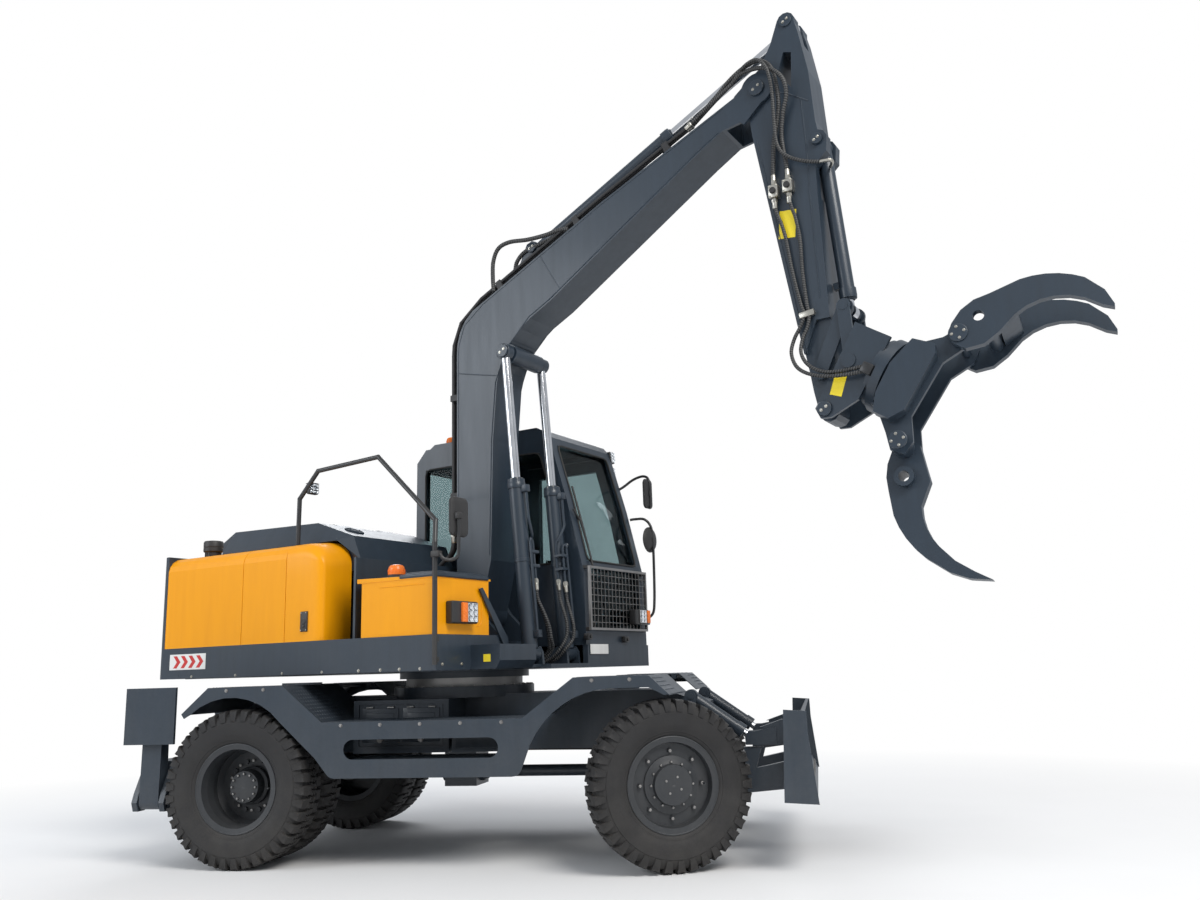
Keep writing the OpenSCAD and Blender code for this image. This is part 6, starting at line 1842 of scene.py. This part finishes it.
tankLook = {
    "lid": ((0.405, -1.2155, 1.886), (0.742, -0.645, 1.92)), "top": ((0.43, -1.185, 1.915), (0.715, -0.68, 1.932)),
    "seam": 0.0028, "corner": 0.02,
    "seams": (
        [(0.7288, -1.13, 1.83), (0.7288, -0.74, 1.83), (0.7288, -0.72, 1.8), (0.7288, -0.72, 1.6),
            (0.7288, -0.74, 1.57), (0.7288, -0.8, 1.57)],
        [(0.13, -1.2072, 1.845), (0.25, -1.2072, 1.845), (0.4, -1.2072, 1.845), (0.65, -1.2072, 1.845)]),
}


def makeTankLid(look):
    bm = bmesh.new()
    boxInto(bm, *look["lid"], 0.014, 4)
    boxInto(bm, *look["top"], 0.01, 3)
    finishPiece("tankLid", bm, upperTurn, "upper", paint["slatePaint"])
    lines = [upperPath(roundCorners(line, look["corner"])[3:-4]) for line in look["seams"]]
    tubePiece("tankSeams", lines, look["seam"], 6, "upper", paint["yellowPaint"])


eyeLook = {"place": (0.64, 3.686), "across": 0.2035, "radii": (0.036, 0.06, 0.0634, 0.0634, 0.06, 0.036),
    "offsets": (0.0, 0.0, 0.003, 0.0695, 0.0725, 0.0725)}


def makeRodEyes(look):
    bm = bmesh.new()
    for side in (-1, 1):
        start = boomPoint(*look["place"], side * look["across"])
        addRing(bm, start, acrossBoom(side), look["radii"], look["offsets"], 28)
    finishPiece("boomRodEyes", bm, straight, "boom_rods", paint["slatePaint"])


# Fixed louvred cover over the cooler bay beside the hood, between it and the left panels

coverLook = {"low": (-1.784, 0.176), "high": (-0.764, 0.9), "top": 2.24, "slatWide": 0.52, "slats": 18,
    "pitch": 0.044, "inset": 0.01, "sheet": 0.02}


def makeBayCover(look):
    (x0, y0), (x1, y1), top = look["low"], look["high"], look["top"]
    inset, sheet = look["inset"], look["inset"] + look["sheet"]
    bm = roundedBox((x0, y0, top - 0.04), (x1, y1, top), 0.008, 3)
    boxInto(bm, (x0 + inset, y0 + inset, 1.8), (x0 + sheet, y1 - inset, top - 0.03), 0.004, 1)
    boxInto(bm, (x0 + inset, y1 - sheet, 1.52), (x1 - inset, y1 - inset, top - 0.03), 0.004, 1)
    finishPiece("bayCover", bm, upperTurn, "upper", paint["slatePaint"])
    slat = bmesh.new()
    boxInto(slat, (-0.015, 0.0, -0.004), (0.015, look["slatWide"], 0.009), 0.004, 2, Matrix.Rotation(-0.35, 4, "Y"))
    made = rowMesh("bayLouvres", shapeObject("baySlat", slat), look["slats"], (look["pitch"], 0, 0),
        paint["blackPaint"])
    made.transform(upperPlace(x0 + 0.12, y0 + 0.1, top + 0.003))
    pieceFromMesh("bayLouvres", made, "upper", None)
    rows = [((x, y, top), (0, 0, 1), 0.018) for x in (x0 + 0.04, (x0 + x1) / 2, x1 - 0.04)
        for y in (y0 + 0.035, y1 - 0.035)]
    bolts("bayScrews", rows, upperTurn, "upper", zincPlate)


makeBayCover(coverLook)

# Caps and screws over the jaw pins

jawLook = {"pins": {"jaw_upper": (0.34, 0.372), "jaw_lower": (0.352, -0.38)}, "radius": 0.058, "screwCircle": 0.038,
    "screws": 4, "screw": 0.014}


def makeJawCaps(look):
    r = look["radius"]
    for body, (p, q) in look["pins"].items():
        caps, rows = bmesh.new(), []
        for side in (-1, 1):
            out = (grapplePoint(0, side, 0) - grapplePoint(0, 0, 0)).normalized()
            addRing(caps, grapplePoint(p, side * 0.2185, q), out, (0.0, r, r, r - 0.005, 0.03, 0.0),
                (0.0, 0.0, 0.01, 0.014, 0.014, 0.014), 26)
            rows += [(grapplePoint(p + c, side * 0.2325, q + s), out, look["screw"])
                for c, s in circle(look["screws"], look["screwCircle"], math.pi / 4)]
        finishPiece("jawCaps_" + body, caps, straight, body, paint["slatePaint"])
        bolts("jawScrews_" + body, rows, straight, body, zincPlate)


# Right engine door with its front top corner drawn round, in place of the plain one

doorLook = {"back": -0.687, "front": -0.33, "corner": 0.2, "bend": 0.05, "height": 0.715, "half": 1.215,
    "base": 1.51, "thick": 0.02, "topRound": 0.11, "pad": (-0.522, -0.453, 1.578, 1.722)}


def doorGrid(look):
    # Points of the door's outside, column by column, each from its base to its top
    h, r, corner, bent = look["height"], look["topRound"], look["corner"], look["front"] - look["corner"]
    profile = [(0.0, 0.0), (0.0, h * 0.3), (0.0, h * 0.6), (0.0, h - r)]
    profile += [(r - r * math.cos(math.radians(a)), h - r + r * math.sin(math.radians(a))) for a in range(15, 91, 15)]
    profile += [(0.2, h + 0.01), (0.3, h + 0.022)]
    columns = [(look["back"] + (bent - look["back"]) * i / 4, 0.0, 0.0) for i in range(4)]
    for k in range(11):
        a = math.radians(9 * k)
        turn = 1 - math.cos(a)
        columns.append((bent + corner * math.sin(a), corner * turn * 0.9, look["bend"] * turn ** 1.5))
    columns += [(look["front"], corner * 0.9, low) for low in (0.1, 0.16, 0.22, 0.3)]
    return [[(x, max(t, low) - look["half"], look["base"] + z * (h - drop) / h) for t, z in profile]
        for x, drop, low in columns]


def makeRoundDoor(look):
    bm = bmesh.new()
    grid = [[bm.verts.new(p) for p in column] for column in doorGrid(look)]
    for a, b in zip(grid, grid[1:]):
        for k in range(len(a) - 1):
            corners = [a[k], b[k], b[k + 1], a[k + 1]]
            if len({tuple(round(c, 5) for c in v.co) for v in corners}) > 2:
                bm.faces.new(corners)
    bmesh.ops.remove_doubles(bm, verts=bm.verts, dist=1e-5)
    bmesh.ops.dissolve_degenerate(bm, edges=bm.edges, dist=1e-5)
    bmesh.ops.recalc_face_normals(bm, faces=bm.faces)
    foot = Vector((look["back"], -look["half"], look["base"]))
    lowest = min(bm.faces, key=lambda face: (face.calc_center_median() - foot).length)
    if lowest.normal.y > 0:
        bmesh.ops.reverse_faces(bm, faces=bm.faces)
    bm.normal_update()
    # Thickened inwards
    edges = [edge for edge in bm.edges if edge.is_boundary]
    inner = {v: bm.verts.new(v.co - v.normal * look["thick"]) for v in list(bm.verts)}
    for face in list(bm.faces):
        bm.faces.new([inner[v] for v in reversed(face.verts)])
    for edge in edges:
        a, b = edge.verts
        bm.faces.new((a, b, inner[b], inner[a]))
    skin = finishPiece("engineDoorSkin", bm, upperTurn, "engine_door_right", paint["yellowPaint"])
    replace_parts(skin, "engine_door_right")
    x0, x1, z0, z1 = look["pad"]
    pad = roundedBox((x0, -look["half"] - 0.005, z0), (x1, -look["half"] + 0.002, z1), 0.003)
    finishPiece("engineDoorLatchPlate", pad, upperTurn, "engine_door_right", blackPlastic)


makeRoundDoor(doorLook)
makeJawCaps(jawLook)
makeSeals(sealLook)
makeCabPlates(plateLook)
makeCabInside(cabinLook)
makeMirrors(mirrorLook)
makeTankLid(tankLook)
makeRodEyes(eyeLook)
print("cab details and mirrors made")

low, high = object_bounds()
